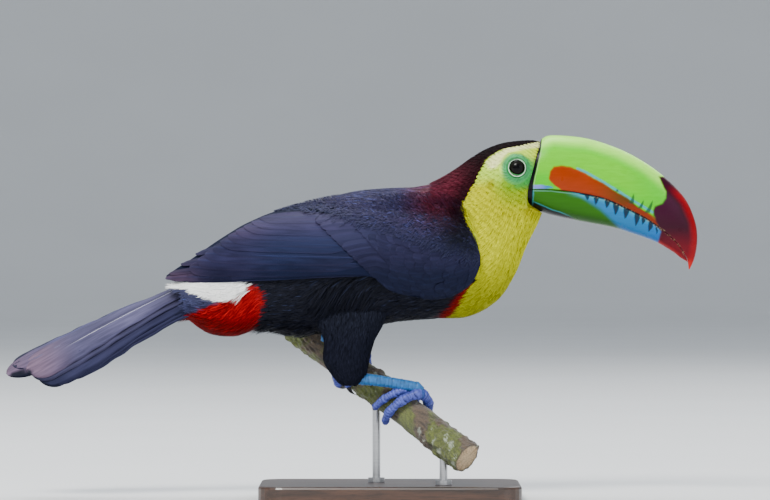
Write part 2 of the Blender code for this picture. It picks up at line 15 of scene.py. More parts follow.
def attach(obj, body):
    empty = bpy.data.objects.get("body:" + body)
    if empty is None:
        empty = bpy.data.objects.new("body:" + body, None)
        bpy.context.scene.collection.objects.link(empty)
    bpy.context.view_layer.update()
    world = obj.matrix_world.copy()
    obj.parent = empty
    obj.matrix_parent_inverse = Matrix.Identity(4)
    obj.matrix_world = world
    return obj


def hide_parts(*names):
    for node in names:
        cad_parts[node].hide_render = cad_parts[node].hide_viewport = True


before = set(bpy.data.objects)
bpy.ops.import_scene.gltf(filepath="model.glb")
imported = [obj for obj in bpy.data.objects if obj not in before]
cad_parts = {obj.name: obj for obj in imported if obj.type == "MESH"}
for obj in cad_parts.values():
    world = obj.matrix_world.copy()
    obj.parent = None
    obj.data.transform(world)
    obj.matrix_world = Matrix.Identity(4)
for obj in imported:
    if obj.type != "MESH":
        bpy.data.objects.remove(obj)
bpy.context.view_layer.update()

bl_info = {
    "name": "Keel-billed toucan",
    "version": (1, 0, 0),
    "blender": (4, 5, 0),
    "location": "3D View > Sidebar > Toucan",
    "description": "Builds a keel-billed toucan display model",
    "category": "Object",
}

MM = 0.001

# ---- Shapes of the bird (mm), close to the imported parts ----

# Slanted sections of the body, rump to face: back (x, z), belly (x, z), half width, widest height.
BODY = (
    (-140.6, 143.3, -133.3, 118.8, 13, 0.5),
    (-126, 152.3, -120, 110.1, 18.5, 0.5),
    (-111, 161.3, -103, 108.1, 23.5, 0.5),
    (-92.4, 171.8, -84.5, 113.1, 28.5, 0.5),
    (-69.3, 186, -64.7, 110.2, 33, 0.5),
    (-46.2, 195.6, -44.9, 108.9, 36.5, 0.5),
    (-23.1, 202.2, -22.4, 110.9, 38.5, 0.51),
    (0, 204.3, 2.6, 116.3, 38.5, 0.51),
    (18.5, 205.3, 29, 118.6, 37, 0.5),
    (31.7, 210.5, 51.5, 119.8, 34.5, 0.48),
    (42.9, 217.1, 70.6, 130.3, 30.5, 0.47),
    (52.8, 224.1, 82.5, 147.8, 26.5, 0.48),
    (62.7, 230, 89.8, 165.7, 23.6, 0.52),
    (74.6, 234.3, 96.4, 178.9, 22, 0.56),
    (88.4, 236, 99.9, 185.7, 20.8, 0.56),
    (99.7, 236, 101.3, 188.3, 19.2, 0.55),
)
BODY_SQUARENESS = 2.15
BODY_END = len(BODY) - 1

# Sections of the bill, base to tip: ridge (x, z), gape (x, z), keel (x, z), half width.
BILL = (
    (99.8, 236.6, 92.4, 203.4, 90.6, 192.7, 17.4),
    (107, 239.2, 105.6, 203.3, 105.6, 187.1, 17.2),
    (129.4, 237.2, 123.4, 201.2, 120.8, 183.8, 16.2),
    (151.8, 230, 140.6, 197.5, 137.3, 180.6, 14.8),
    (170.3, 219.9, 155.1, 191.2, 149.2, 178.2, 13),
    (184.8, 208.5, 168.3, 184.5, 163, 173.8, 11),
    (195.4, 196.3, 180.2, 176.2, 174.9, 169.4, 8.7),
    (201.3, 182.4, 188.1, 169.2, 183.5, 164.6, 6.4),
    (202.7, 170.4, 192.7, 163.4, 189.4, 160.6, 4.5),
    (201, 158.9, 196, 157.6, 194, 155.6, 2.7),
    (197.7, 151, 197.1, 150.8, 196.8, 150.5, 0.8),
)
BILL_END = len(BILL) - 1
LOWER_END = 9.25
BILL_SQUARENESS = 0.91
BILL_UNDERCUT = math.radians(20)
LOWER_NARROWER = 0.94

EYE = np.array((83.2, 16.4, 217.5))
EYE_RADIUS = 6.8

# The folded wing: x, centre height, semi-axes across and up, heights of its upper and lower edges.
WING = (
    (-147.5, 141.8, 6.5, 6.5, 148.2, 144.8),
    (-140, 142.1, 9.5, 11.8, 153.7, 143.1),
    (-131, 142.3, 13.5, 17.6, 159.7, 142.7),
    (-118, 143.3, 19.5, 26, 169, 143),
    (-105, 144.3, 25, 32.8, 176.8, 143.5),
    (-92, 145.8, 30, 37.7, 183.2, 144.3),
    (-66, 149.3, 37, 43.3, 192.1, 145.5),
    (-40, 153.3, 42, 45.2, 194.3, 146.7),
    (-13, 157.3, 44.5, 45.3, 190.3, 146.3),
    (0, 158.8, 44.8, 45.3, 188.9, 138.3),
    (18, 160.3, 44.4, 45.4, 187.8, 132.9),
    (34, 161.3, 42.6, 46.4, 185.7, 132.5),
    (46, 161.3, 40.2, 47.6, 180.8, 136.8),
    (54.5, 161.3, 37.6, 49, 172.8, 144.3),
    (59, 161.3, 35.9, 50, 159.8, 153.8),
)
WING_END = len(WING) - 1

TAIL_ROOT = np.array((-137.6, 0, 134.6))
TAIL_SLOPE = math.radians(24.6)
TAIL_ROLL = math.radians(36)
TAIL_LENGTH = 128.0
# Tail feathers, middle pair first: shaft's place across the fan at root and tip, height in the stack,
# length (mm), half width as a share of the fan.
TAIL_FEATHERS = (
    (0.34, -0.2, 1.0, 113, 0.56), (0.46, 0.0, 0.84, 126.5, 0.55), (0.02, -0.36, 0.74, 111, 0.46),
    (0.48, 0.26, 0.64, 121, 0.5), (-0.2, -0.53, 0.52, 108, 0.49), (0.46, 0.4, 0.42, 112, 0.5),
    (-0.4, -0.57, 0.32, 102, 0.44), (0.45, 0.48, 0.22, 103, 0.48), (-0.54, -0.58, 0.12, 93, 0.42),
    (0.44, 0.5, 0.04, 94, 0.46),
)

TIP_SHADES = (  # painted shade where the tail's tips curl: their undersides, dark and in shadow
    ((-250, 82), (-244, 83.8), (-238, 85.2), (-234.5, 83), (-236, 78), (-244, 76), (-251, 79)),
    ((-233, 80), (-229, 77.5), (-222, 75), (-214, 73.5), (-216, 69), (-226, 69), (-234, 74)),
)

BRANCH_POINT = np.array((11.6, -10.7, 57))
BRANCH_WAY = np.array((1, -0.75, -0.75)) / math.sqrt(1.0 + 2 * 0.75**2)
BRANCH_RADIUS = 11.0
BRANCH_ENDS = (-108, 56)
FEET = {"right": (0, 1), "left": (-60, -1)}  # place along the branch, and which way the toes lean
HEELS = {"right": (-19.5, -20, 79.4), "left": (-43, 14.5, 106.5)}
FOOT_LIFT, ANKLE_LIFT = 15.6, 3.4
TOES = (  # angle where it ends, drift along the branch at root and end, radius at root and end
    (118, -4, -17, 2.7, 2),
    (-112, -3.5, -9, 2.9, 2.1),
    (-132, 3, 8, 3.1, 2.2),
    (146, 2.5, -7.5, 3.1, 2.2),
)
TOE_START = 5.0  # degrees from the branch's top, where a toe leaves the pad
TOE_SEAT = 11.3  # how far a toe's underside stands from the branch's axis
CLAW_SWEEP = 34.0  # degrees round the branch
THIGHS = {  # rings: centre (x, y), height, half length, half thickness
    "right": (
        (-25, -17, 140.3, 23, 12), (-25, -18, 127.3, 24, 12.2),
        (-26, -19.6, 115.3, 21.6, 12.4), (-26.8, -20.4, 104.3, 16.6, 13.4),
        (-28.6, -21, 91.3, 14.9, 13.2), (-27, -20.5, 81.8, 11.2, 10.4),
        (-26.6, -20.2, 76.5, 7, 7), (-26.4, -20, 74.3, 3, 3),
    ),
    "left": (
        (-32, 15, 139.5, 20, 11), (-33, 16, 127.5, 20.5, 13.5),
        (-34.5, 15.5, 118.5, 17, 12), (-36, 14.5, 112, 12.5, 9.5),
        (-37, 14, 108, 7.5, 6.5), (-37.5, 14, 106.5, 3, 3),
    ),
}

# ---- Markings (mm, side view) ----

BIB_EDGE = (  # height, then how far forward the yellow of face and bib starts
    (120, 39), (123.6, 42.4), (138.9, 51.2), (144.3, 56.6), (157.5, 59.9), (168.4, 56.6), (182.7, 50),
    (193, 47), (201.8, 51.5), (208.7, 55.8), (214.8, 58.1), (220.8, 61.8), (226.4, 67.3), (230, 74.3),
    (231.7, 81.2), (233.6, 90), (235, 97), (235.8, 110),
)
YELLOW_OVERHANG = 2.2  # how far the yellow tufts keep their colour over the black
BASE_EDGE = (  # where the bill's base meets the face: height, then x
    (190, 90.3), (194, 90.4), (204, 90.5), (207.1, 91.1), (213.2, 93.2), (219.3, 94.7), (226.4, 96.6),
    (232, 98.7), (236.6, 99.8),
)
BASE_BAND = (  # the black band round the base: height, then width
    (196, 3.1), (204, 3.4), (207, 3), (212, 2.2), (226, 1.9), (232, 0.8), (236, 0.4),
)
BASE_GAP = 0.2  # between the face and the bill's base
BASE_FOOT = 191.0  # height of the base's lower end
BASE_SLANT = 0.2096  # how far forward the straight base leans for each mm up
KEEL_START = 90.6  # x of the keel's rear end
KEEL_SLOPE = 0.373  # how far the keel falls for each mm forward, near the base
# The lower edge of the white patch over the tail: x, then height.
WHITE_EDGE = (
    (-112.2, 129.7), (-102.3, 131.3), (-97, 132), (-95.7, 134.6), (-92.4, 139.9), (-90, 147),
)
TAIL_WEDGE = (  # the tail's base, seen between the white and red coverts
    (-111.5, 129.6), (-118.8, 131.6), (-124.1, 133.9), (-129.4, 135.4), (-132, 138.2), (-144, 138.6),
    (-175, 138.6), (-175, 105), (-134.6, 118.4), (-132, 120.6), (-124.1, 124),
)
ORANGE = (  # outline of the orange blotch
    (104.3, 210.5), (105, 215.5), (107.6, 218.5), (112.2, 218.9), (118, 218.2), (126.5, 215),
    (136.4, 209.4), (148.5, 202.2), (157.3, 196.7), (165.5, 190.4), (176, 182.4), (176, 179),
    (168.3, 183), (155.1, 189.5), (140.6, 196), (123.4, 200), (112.6, 203.2), (108.9, 205.4),
    (105.6, 208.2),
)
BLUE_LINE = ((123, 217.2), (129, 214.6), (139, 209), (149.6, 202.6), (161, 195.4), (172.7, 188.6))
LILAC_STRIP = ((91, 205), (99, 205.2), (106.5, 204.8))
TIP = (  # outline of the dark red tip
    (176.9, 212), (181.5, 202.2), (181.7, 197.8), (179.3, 194.5), (174.2, 192.3), (173.1, 190.1),
    (173.3, 186.3), (175.4, 181.4), (178.2, 175.8), (176.9, 168), (185, 150), (215, 140),
    (215, 215),
)
MARKS_BELOW = (  # dark wedges below the gape: top (x, z), point (x, z), half width at the top
    (128.5, 200.9, 129.6, 196.4, 1.3), (135.1, 199.3, 134.9, 193.4, 1.3), (142.6, 197, 142.1, 191.3, 1.45),
    (148.2, 194.4, 148, 186.8, 1.6), (155.3, 191.4, 154.3, 184.2, 1.6), (162.4, 187.9, 161.5, 179.5, 1.5),
    (166.5, 184.8, 165.9, 180.5, 1.1), (171.4, 181, 170.1, 175.8, 1.3), (175.3, 177.6, 175.3, 174.3, 0.5),
)
MARKS_ABOVE = (  # and above it: foot (x, z), point (x, z), half width
    (149, 202, 149.6, 204, 0.7), (158.6, 194.4, 160.2, 200.4, 1.2), (164, 191.2, 166.9, 196.5, 1),
    (168.9, 188.2, 172.8, 196.2, 1.3),
)
SHOULDER_EDGE = (  # how low the shoulder feathers reach over the wing: x, then height
    (-74, 195), (-45, 189), (-30, 185), (5, 174), (36, 163), (50, 158), (58, 155),
)
SHOULDER_REAR, SHOULDER_LONG = -74, 132.5
REAR_TIPS = (  # quills that show at the wing's rear end: root (x, z), tip (x, z), half width
    (-100, 169, -128, 163.8, 3), (-98, 161, -137.8, 155.6, 2.8),
    (-100, 154.5, -145.6, 148.9, 2.2), (-104, 149, -148.3, 144.9, 2.5),
)

# ---- Fineness of the feathers ----

BODY_TRIALS, SIDE_TRIALS = 420000, 26000  # places tried for a root on the body, and on a shoulder or thigh
SHOULDER_SPACING, THIGH_SPACING = 0.95, 1.05  # mm between roots
TUFT_PATCH = 0.003  # side of a tuft's patch on the bake map
USUAL_LIFT = 0.35  # how far the tips stand up, in mm, unless the panel says otherwise
SKIN_VOXEL = 1.35  # fineness of the one skin, in mm


# ---- Colours and user settings ----


def linear(code):
    """A #rrggbb colour as linear red, green and blue."""
    parts = [int(code[k : k + 2], 16) / 255 for k in (1, 3, 5)]
    return tuple(c / 12.92 if c <= 0.04045 else ((c + 0.055) / 1.055) ** 2.4 for c in parts)


def opaque(code):
    """The same with an alpha of 1, as colour sockets take it."""
    return (*linear(code), 1.0)


def colour(name, code, description):
    return bpy.props.FloatVectorProperty(
        name=name, description=description, subtype="COLOR", size=3, min=0.0, max=1.0, default=linear(code)
    )


def length(name, size, description):
    return bpy.props.FloatProperty(
        name=name, description=description, unit="LENGTH", min=0.0, default=size * MM
    )


class ToucanPlumage(bpy.types.PropertyGroup):
    depth: length("Coat depth", 1.6, "How far the skin lies inside the feathers' outline")
    lift: length("Lift", USUAL_LIFT, "How far the feather tips stand over that outline")
    yellow: colour("Bib", "#d3d300", "Lemon yellow of the throat and breast")
    cream: colour("Face", "#c8f858", "Pale yellow round the face")
    bare: colour("Bare skin", "#209348", "Green skin round the eye")
    black: colour("Black", "#0d0f1b", "Black of back, belly and thighs")
    cap: colour("Cap", "#120507", "Maroon black of crown and nape")
    maroon: colour("Nape", "#5b1929", "Maroon sheen low on the nape")
    white: colour("Rump", "#fbfbf8", "White upper tail coverts")
    red: colour("Undertail", "#8f0309", "Crimson undertail coverts")
    band: colour("Breast band", "#760c08", "Dark red band below the bib")
    slate: colour("Tail base", "#333552", "Slate of the tail's base between its coverts")


class ToucanQuills(bpy.types.PropertyGroup):
    blue: colour("Wing", "#151a31", "Blue black of the flight feathers")
    rim: colour("Rims", "#292131", "Brownish rims of the flight feathers")
    tail: colour("Tail", "#434057", "Slate violet of the tail")
    tail_tip: colour("Tail tip", "#675261", "Worn, brownish end of the tail")
    shaft: colour("Shaft", "#e4e4ee", "Pale shafts of the middle tail feathers")


class ToucanBill(bpy.types.PropertyGroup):
    green: colour("Upper green", "#46c000", "Green of the upper mandible")
    # The ridge's own light green, with a painted highlight from above.
    pale: colour("Ridge", "#b6ff60", "Yellow green along the ridge")
    deep: colour("Lower green", "#245e00", "Deeper green of the lower mandible")
    azure: colour("Azure", "#146ba8", "Blue of the lower mandible's front half")
    sky: colour("Fine lines", "#2994af", "Light blue lines beside the markings")
    lilac: colour("Gape strip", "#7280d0", "Lilac strip at the base of the gape")
    orange: colour("Blotch", "#902d00", "Orange blotch of the upper mandible")
    rust: colour("Gape", "#7b2100", "Rusty cutting edges")
    mark: colour("Marks", "#091626", "Dark tooth marks along the gape")
    maroon: colour("Tip", "#2e0016", "Dark red tip")
    red: colour("Tip rim", "#88000c", "Bright red rim of the tip")
    ember: colour("Tip point", "#c10d00", "Orange red point of the tip")
    band: colour("Base band", "#030409", "Black band round the base")


class ToucanLegs(bpy.types.PropertyGroup):
    azure: colour("Shank", "#296eaf", "Azure of the shanks")
    cobalt: colour("Toes", "#4249ad", "Cobalt of the toes")
    claw: colour("Claws", "#1f1f25", "Dark horn of the claws")


class ToucanStand(bpy.types.PropertyGroup):
    wood: colour("Base", "#41291b", "Dark stained walnut")
    bark: colour("Bark", "#504132", "Brown bark of the perch")
    moss: colour("Moss", "#545f1d", "Moss and lichen on the bark")


GROUPS = {
    "toucan_plumage": ToucanPlumage, "toucan_quills": ToucanQuills, "toucan_bill": ToucanBill,
    "toucan_legs": ToucanLegs, "toucan_stand": ToucanStand,
}


# ---- Small tools ----


def rows_at(table, at):
    """A table's rows at fractional stations, on a Catmull-Rom curve through them."""
    rows = np.array(table, float)
    at = np.clip(np.asarray(at, float), 0, len(rows) - 1)
    first = np.minimum(at.astype(int), len(rows) - 2)
    t = (at - first)[..., None]
    p, q, r, s = (rows[np.clip(first + k, 0, len(rows) - 1)] for k in (-1, 0, 1, 2))
    return 0.5 * (2 * q + (r - p) * t + (2 * p - 5 * q + 4 * r - s) * t**2 + (3 * q - p - 3 * r + s) * t**3)


def ease(low, high, value):
    """0 below low, 1 above high, smooth between; low may be the larger."""
    t = np.clip((np.asarray(value, float) - low) / (high - low), 0, 1)
    return t * t * (3 - 2 * t)


def blend(first, second, share):
    """From the first to the second, the share being a number or one number per point."""
    share = np.asarray(share, float)
    if share.ndim and np.ndim(first) and np.shape(first)[-1] == 3:
        share = share[..., None]
    return np.asarray(first) * (1 - share) + np.asarray(second) * share


def signed_power(value, power):
    return np.sign(value) * np.abs(value) ** power


def unit(vectors):
    return vectors / np.maximum(np.linalg.norm(vectors, axis=-1, keepdims=True), 1e-9)


def table_at(table, value):
    """The second column of a table at a place in its first."""
    return np.interp(value, *np.array(table).T)


def ripple(points, scale, seed=0.0):
    """Smooth noise from -1 to 1 at points in mm, with lumps about scale mm across: summed turned waves."""
    points = np.asarray(points, float) / scale
    total = np.zeros(points.shape[:-1])
    for k in range(7):
        way = np.array((math.sin(2.1 * k + seed), math.cos(1.7 * k + 2 * seed), math.sin(3.3 * k + 1 + seed)))
        total += np.sin(points @ (way * (1.6 + 0.7 * k)) + 1.9 * k + seed + np.sin(points[..., 0] * 0.7 + k))
    return total / 4.2


def to_line(x, z, line):
    """Distance from points to an open line of (x, z) corners."""
    best = np.full(np.shape(x), 1e9)
    for (ax, az), (bx, bz) in zip(line, line[1:]):
        dx, dz = bx - ax, bz - az
        t = np.clip(((x - ax) * dx + (z - az) * dz) / (dx * dx + dz * dz), 0, 1)
        best = np.minimum(best, np.hypot(x - ax - t * dx, z - az - t * dz))
    return best


def to_patch(x, z, outline):
    """Signed distance to a closed outline of (x, z) corners, below 0 inside it."""
    corners = list(outline) + [outline[0]]
    inside = np.zeros(np.shape(x), bool)
    for (ax, az), (bx, bz) in zip(corners, corners[1:]):
        if az != bz:
            inside ^= ((az > z) != (bz > z)) & (x < (bx - ax) * (z - az) / (bz - az) + ax)
    return np.where(inside, -1, 1) * to_line(x, z, corners)


def even_spread(count, seed):
    """count points of three coordinates in 0..1 that fill the cube evenly."""
    step = 1.2207440846057596  # the real root of x**4 = x + 1
    ways = np.array((1 / step, 1 / step**2, 1 / step**3))
    return (seed + np.arange(1, count + 1)[:, None] * ways) % 1.0


def grid(bm, rows, columns):
    """An operator-made grid of faces, with each vertex's row and column."""
    made = bmesh.ops.create_grid(bm, x_segments=columns, y_segments=rows, size=0.5)["verts"]
    place = [(round((v.co.y + 0.5) * rows), round((v.co.x + 0.5) * columns)) for v in made]
    return made, np.array(place)


def mesh_of(bm, name):
    mesh = bpy.data.meshes.new(name)
    bm.to_mesh(mesh)
    bm.free()
    return mesh


def loft(name, rings, cap=True, surface_colour=None):
    """A mesh tube through rings of points in mm (rings, points, 3), its seam merged and its ends closed."""
    count, around = rings.shape[:2]
    bm = bmesh.new()
    layer = bm.verts.layers.float_color.new("Painted_colour") if surface_colour is not None else None
    verts, place = grid(bm, count - 1, around)
    for vertex, point in zip(verts, rings[place[:, 0], place[:, 1] % around] * MM):
        vertex.co = point
    if layer:
        for vertex, shade in zip(verts, surface_colour[place[:, 0], place[:, 1] % around]):
            vertex[layer] = (*shade, 1.0)
    bmesh.ops.remove_doubles(bm, verts=bm.verts, dist=1e-7)
    if cap:
        bmesh.ops.holes_fill(bm, edges=[e for e in bm.edges if e.is_boundary], sides=0)
    bmesh.ops.recalc_face_normals(bm, faces=bm.faces)
    return mesh_of(bm, name)


def template(rows, columns):
    """Rows, columns and faces of a small grid that is repeated for every feather of a kind."""
    bm = bmesh.new()
    _, place = grid(bm, rows, columns)
    bm.verts.index_update()
    faces = np.array([[v.index for v in face.verts] for face in bm.faces])
    bm.free()
    return place, faces


def joined(name, places, faces, surface_colour, bake, vane):
    """One mesh of many copies of a template: places and dye are (copies, points, 3), the UVs
    (copies, points, 2)."""
    copies, count = places.shape[:2]
    corners = (faces[None] + np.arange(copies)[:, None, None] * count).reshape(-1)
    mesh = bpy.data.meshes.new(name)
    mesh.vertices.add(copies * count)
    mesh.vertices.foreach_set("co", (places * MM).astype(np.float32).ravel())
    mesh.loops.add(len(corners))
    mesh.loops.foreach_set("vertex_index", corners.astype(np.int32))
    mesh.polygons.add(copies * len(faces))
    mesh.polygons.foreach_set("loop_start", np.arange(0, len(corners), 4, dtype=np.int32))
    mesh.update(calc_edges=True)
    paint(mesh, surface_colour.reshape(-1, 3))
    for label, places_2d in (("OFBake", bake), ("Vane", vane)):
        layer = mesh.uv_layers.new(name=label)
        layer.uv.foreach_set("vector", places_2d.reshape(-1, 2)[corners].astype(np.float32).ravel())
    return mesh


def points_of(mesh):
    """A mesh's vertices in mm."""
    flat = np.empty(len(mesh.vertices) * 3, np.float32)
    mesh.vertices.foreach_get("co", flat)
    return flat.reshape(-1, 3).astype(float) / MM


def paint(mesh, surface_colour):
    """Stores one linear colour per vertex, as the attribute that the materials read."""
    full = np.ones((len(mesh.vertices), 4), np.float32)
    full[:, :3] = surface_colour
    mesh.attributes.new("Painted_colour", "FLOAT_COLOR", "POINT").data.foreach_set("color", full.ravel())


def piece(name, mesh, material, nodes=()):
    """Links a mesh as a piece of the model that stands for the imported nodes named."""
    mesh.name = name
    mesh.shade_smooth()
    mesh.materials.append(material)
    obj = bpy.data.objects.new(name, mesh)
    bpy.context.scene.collection.objects.link(obj)
    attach(obj, "root")
    if nodes:
        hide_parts(*nodes)
    return obj


def join(meshes, name):
    """One mesh of several, with their colours kept."""
    bm = bmesh.new()
    for mesh in meshes:
        bm.from_mesh(mesh)
        bpy.data.meshes.remove(mesh)
    return mesh_of(bm, name)


def add_node(tree, kind, inputs=None, **settings):
    """A shader node with its settings, and a value or another node's output for each input."""
    node = tree.nodes.new("ShaderNode" + kind)
    for name, value in settings.items():
        setattr(node, name, value)
    for key, value in (inputs or {}).items():
        if isinstance(value, bpy.types.NodeSocket):
            tree.links.new(value, node.inputs[key])
        else:
            node.inputs[key].default_value = value
    return node


def new_material(name, **sockets):
    """A node material, with constants on its shader's own sockets."""
    material = bpy.data.materials.new(name)
    material.use_nodes = True
    tree = material.node_tree
    shader = tree.nodes["Principled BSDF"]
    for key, value in sockets.items():
        shader.inputs[key.replace("_", " ")].default_value = value
    return material, tree, shader


def vary_painted_colour(tree, shader, pattern, low, high, ends=(0.3, 0.7)):
    """Gives the shader the painted colour, darker and lighter by a pattern that runs between its ends."""
    surface_colour = add_node(tree, "Attribute", attribute_name="Painted_colour")
    light = add_node(tree, "MapRange", {"Value": pattern.outputs[0], "From Min": ends[0], "From Max": ends[1],
                                        "To Min": low, "To Max": high})
    shade = add_node(tree, "VectorMath", {0: surface_colour.outputs[0], "Scale": light.outputs[0]}, operation="SCALE")
    tree.links.new(shade.outputs[0], shader.inputs["Base Color"])


def made_once(build):
    """Keeps the material that a function makes, so that each is made once."""
    kept = {}

    def fetch(*settings):
        if settings not in kept:
            kept[settings] = build(*settings)
        return kept[settings]

    return fetch


# ---- Surfaces of the body, bill and wing ----


def body_point(at, turn, grow=0.0):
    """Places on the body: station from rump to face, turn round it from the bird's left over the back."""
    at, turn = np.broadcast_arrays(np.asarray(at, float), np.asarray(turn, float))
    inside = np.clip(at, 0, BODY_END)
    rows = rows_at(BODY, inside)
    top = np.stack((rows[..., 0], np.zeros(at.shape), rows[..., 1]), -1)
    low = np.stack((rows[..., 2], np.zeros(at.shape), rows[..., 3]), -1)
    height = np.linalg.norm(top - low, axis=-1)
    up = (top - low) / height[..., None]
    share = rows[..., 5]
    power = 2 / BODY_SQUARENESS
    reach = np.where(np.sin(turn) > 0, height * (1 - share), height * share) + grow
    rise = signed_power(np.sin(turn), power) * reach
    side = signed_power(np.cos(turn), power) * (rows[..., 4] + grow)
    point = low + up * (height * share + rise)[..., None]
    point[..., 1] = side
    beyond = (at - inside)[..., None]
    return point + beyond * np.where(beyond < 0, (16.0, 0.0, 4.5), (8.0, 0.0, 0.0))


def keel_height(x, start):
    """Height of the keel near the base, from a height at its rear end."""
    return start - KEEL_SLOPE * (x - KEEL_START)


def face_limit(points):
    """Keeps the head behind the bill's base, but for the chin below the lower mandible."""
    x, z = points[..., 0], points[..., 2]
    points[..., 0] = np.where(z > BASE_FOOT, np.minimum(x, table_at(BASE_EDGE, z) - BASE_GAP), x)
    chin = (points[..., 0] > 90.3) & (z < 194.0)
    points[..., 2] = np.where(chin, np.minimum(z, keel_height(points[..., 0], 191.9)), z)
    return points


def surface_frame(surface, at, turn, grow):
    """Place, forward way per station, sideways way and outward normal of a surface."""
    place = surface(at, turn, grow)
    forward = (surface(at + 0.02, turn, grow) - surface(at - 0.02, turn, grow)) / 0.04
    sideways = (surface(at, turn + 0.004, grow) - surface(at, turn - 0.004, grow)) / 0.008
    return place, forward, sideways, unit(np.cross(sideways, forward))


def find_on_body(x, z, side):
    """Station and turn of the body's surface at side-view places on one flank."""
    at = np.full(np.shape(x), 13.0)
    turn = np.full(np.shape(x), 0.3)
    for _ in range(25):
        here = body_point(at, turn)
        by_at = (body_point(at + 0.01, turn) - here) / 0.01
        by_turn = (body_point(at, turn + 0.01) - here) / 0.01
        dx, dz = x - here[..., 0], z - here[..., 2]
        area = by_at[..., 0] * by_turn[..., 2] - by_turn[..., 0] * by_at[..., 2]
        at = np.clip(at + 0.8 * (dx * by_turn[..., 2] - dz * by_turn[..., 0]) / area, 0, BODY_END)
        turn = np.clip(turn + 0.8 * (dz * by_at[..., 0] - dx * by_at[..., 2]) / area, -1.3, 1.3)
    return at, turn if side > 0 else math.pi - turn


WING_STEPS = np.linspace(0, WING_END, 400)
WING_X = rows_at(WING, WING_STEPS)[:, 0]


def wing_row(x):
    """The folded wing's row at a place along it."""
    return rows_at(WING, np.interp(x, WING_X, WING_STEPS))


def wing_arc(x):
    """Angles of the wing's upper and lower edges, and the length in mm of the arc between them."""
    rows = wing_row(x)
    ends = [np.arccos(np.clip((rows[..., k] - rows[..., 1]) / rows[..., 3], -1, 1)) for k in (4, 5)]
    return ends[0], ends[1], (ends[1] - ends[0]) * (rows[..., 2] + rows[..., 3]) / 2


def wing_share(x, z):
    """How far round from its upper edge the wing reaches a height."""
    rows = wing_row(x)
    first, last, _ = wing_arc(x)
    angle = np.arccos(np.clip((z - rows[..., 1]) / rows[..., 3], -1, 1))
    return np.clip((angle - first) / (last - first), 0, 1)


def wing_point(x, share, out, side):
    """Places on the wing's outer face, a share of the way from its upper to its lower edge."""
    rows = wing_row(x)
    first, last, _ = wing_arc(x)
    angle = first + (last - first) * share
    y = (rows[..., 2] + out) * np.sin(angle)
    z = rows[..., 1] + (rows[..., 3] + out) * np.cos(angle)
    return np.stack((x + 0 * y, side * np.maximum(y, 0.3), z), -1)


# ---- Markings, with painted light and shade ----


def yellow_face_colour(points, wander, tint):
    """Shades of the yellow face and bib, with the green skin round the eye; painted shade darkens the lower
    bib, the face beside the bill and the chin.
    """
    x, y, z = points[..., 0], np.abs(points[..., 1]), points[..., 2]
    yellow, bare = tint["yellow"], tint["bare"]
    # Painted shade: the lower bib darker and bluer.
    shade = blend(yellow, yellow * (0.40, 0.41, 0.5) + (0, 0, 0.008), ease(168, 122, z) * 0.95)
    # Greener, darker yellow behind the gape: the face's own olive, with painted shade beside the bill.
    olive_and_shade = blend(np.array((0.42, 0.66, 1.0)), (0.24, 0.56, 1.0), ease(199, 205, z))
    cheek = ease(24, 8, np.hypot((x - 86) * 0.9, (z - 207) * 1.1)) * ease(4, 10, y)
    shade = blend(shade, yellow * olive_and_shade + (0.0, 0.0, 0.008), cheek * 0.8)
    pale = ease(203, 214, z) * ease(104, 90, x) * ease(0.2, 0.0, cheek - 0.8)
    shade = blend(shade, tint["cream"], pale * 0.62)
    brow = ease(2.8, 0.9, to_line(x, z, ((71.0, 224.0), (76.0, 229.0), (86.0, 231.4), (98.0, 233.2))))
    brow = np.maximum(brow, ease(4.6, 1.8, to_line(x, z, ((67.0, 220.0), (70.5, 224.3)))))
    shade = blend(shade, linear("#fdffb5"), brow * 0.9)
    round_eye = np.hypot(x - 83.6, z - 216.9 + 0.08 * (x - 83.6))
    cheeks_only = ease(3, 9, y)
    outside = ease(16, 9.5, round_eye + wander) * ease(217, 209, z) * ease(92, 84, x) * cheeks_only
    shade = blend(shade, linear("#599e00"), outside * 0.85)
    ring = ease(12.4, 8.2, round_eye + 0.6 * wander - 2.2 * ease(214, 206, z)) * cheeks_only
    ringed = blend(bare, linear("#61a221"), ease(84, 75, x) * 0.6 + ease(213, 205, z) * 0.4)
    shade = blend(shade, ringed, ring * 0.95)
    lores = ease(7.0, 2.5, np.abs(x - 92.0) * 1.2) * ease(226, 221, z) * ease(202, 208, z) * cheeks_only
    shade = blend(shade, bare * (1.3, 1.15, 0.8), lores * 0.6)
    # Painted shadow under the base of the lower mandible.
    chin = ease(6, 1, np.hypot((x - 94) * 0.6, z - 189))
    shade = blend(shade, yellow * (0.62, 0.56, 0.3), chin * 0.7)
    ear = ease(3.4, 1.2, np.hypot(x - 66, (z - 206.6) * 0.8)) * ease(8, 14, y)
    return blend(shade, yellow * 0.45, ear * 0.8)


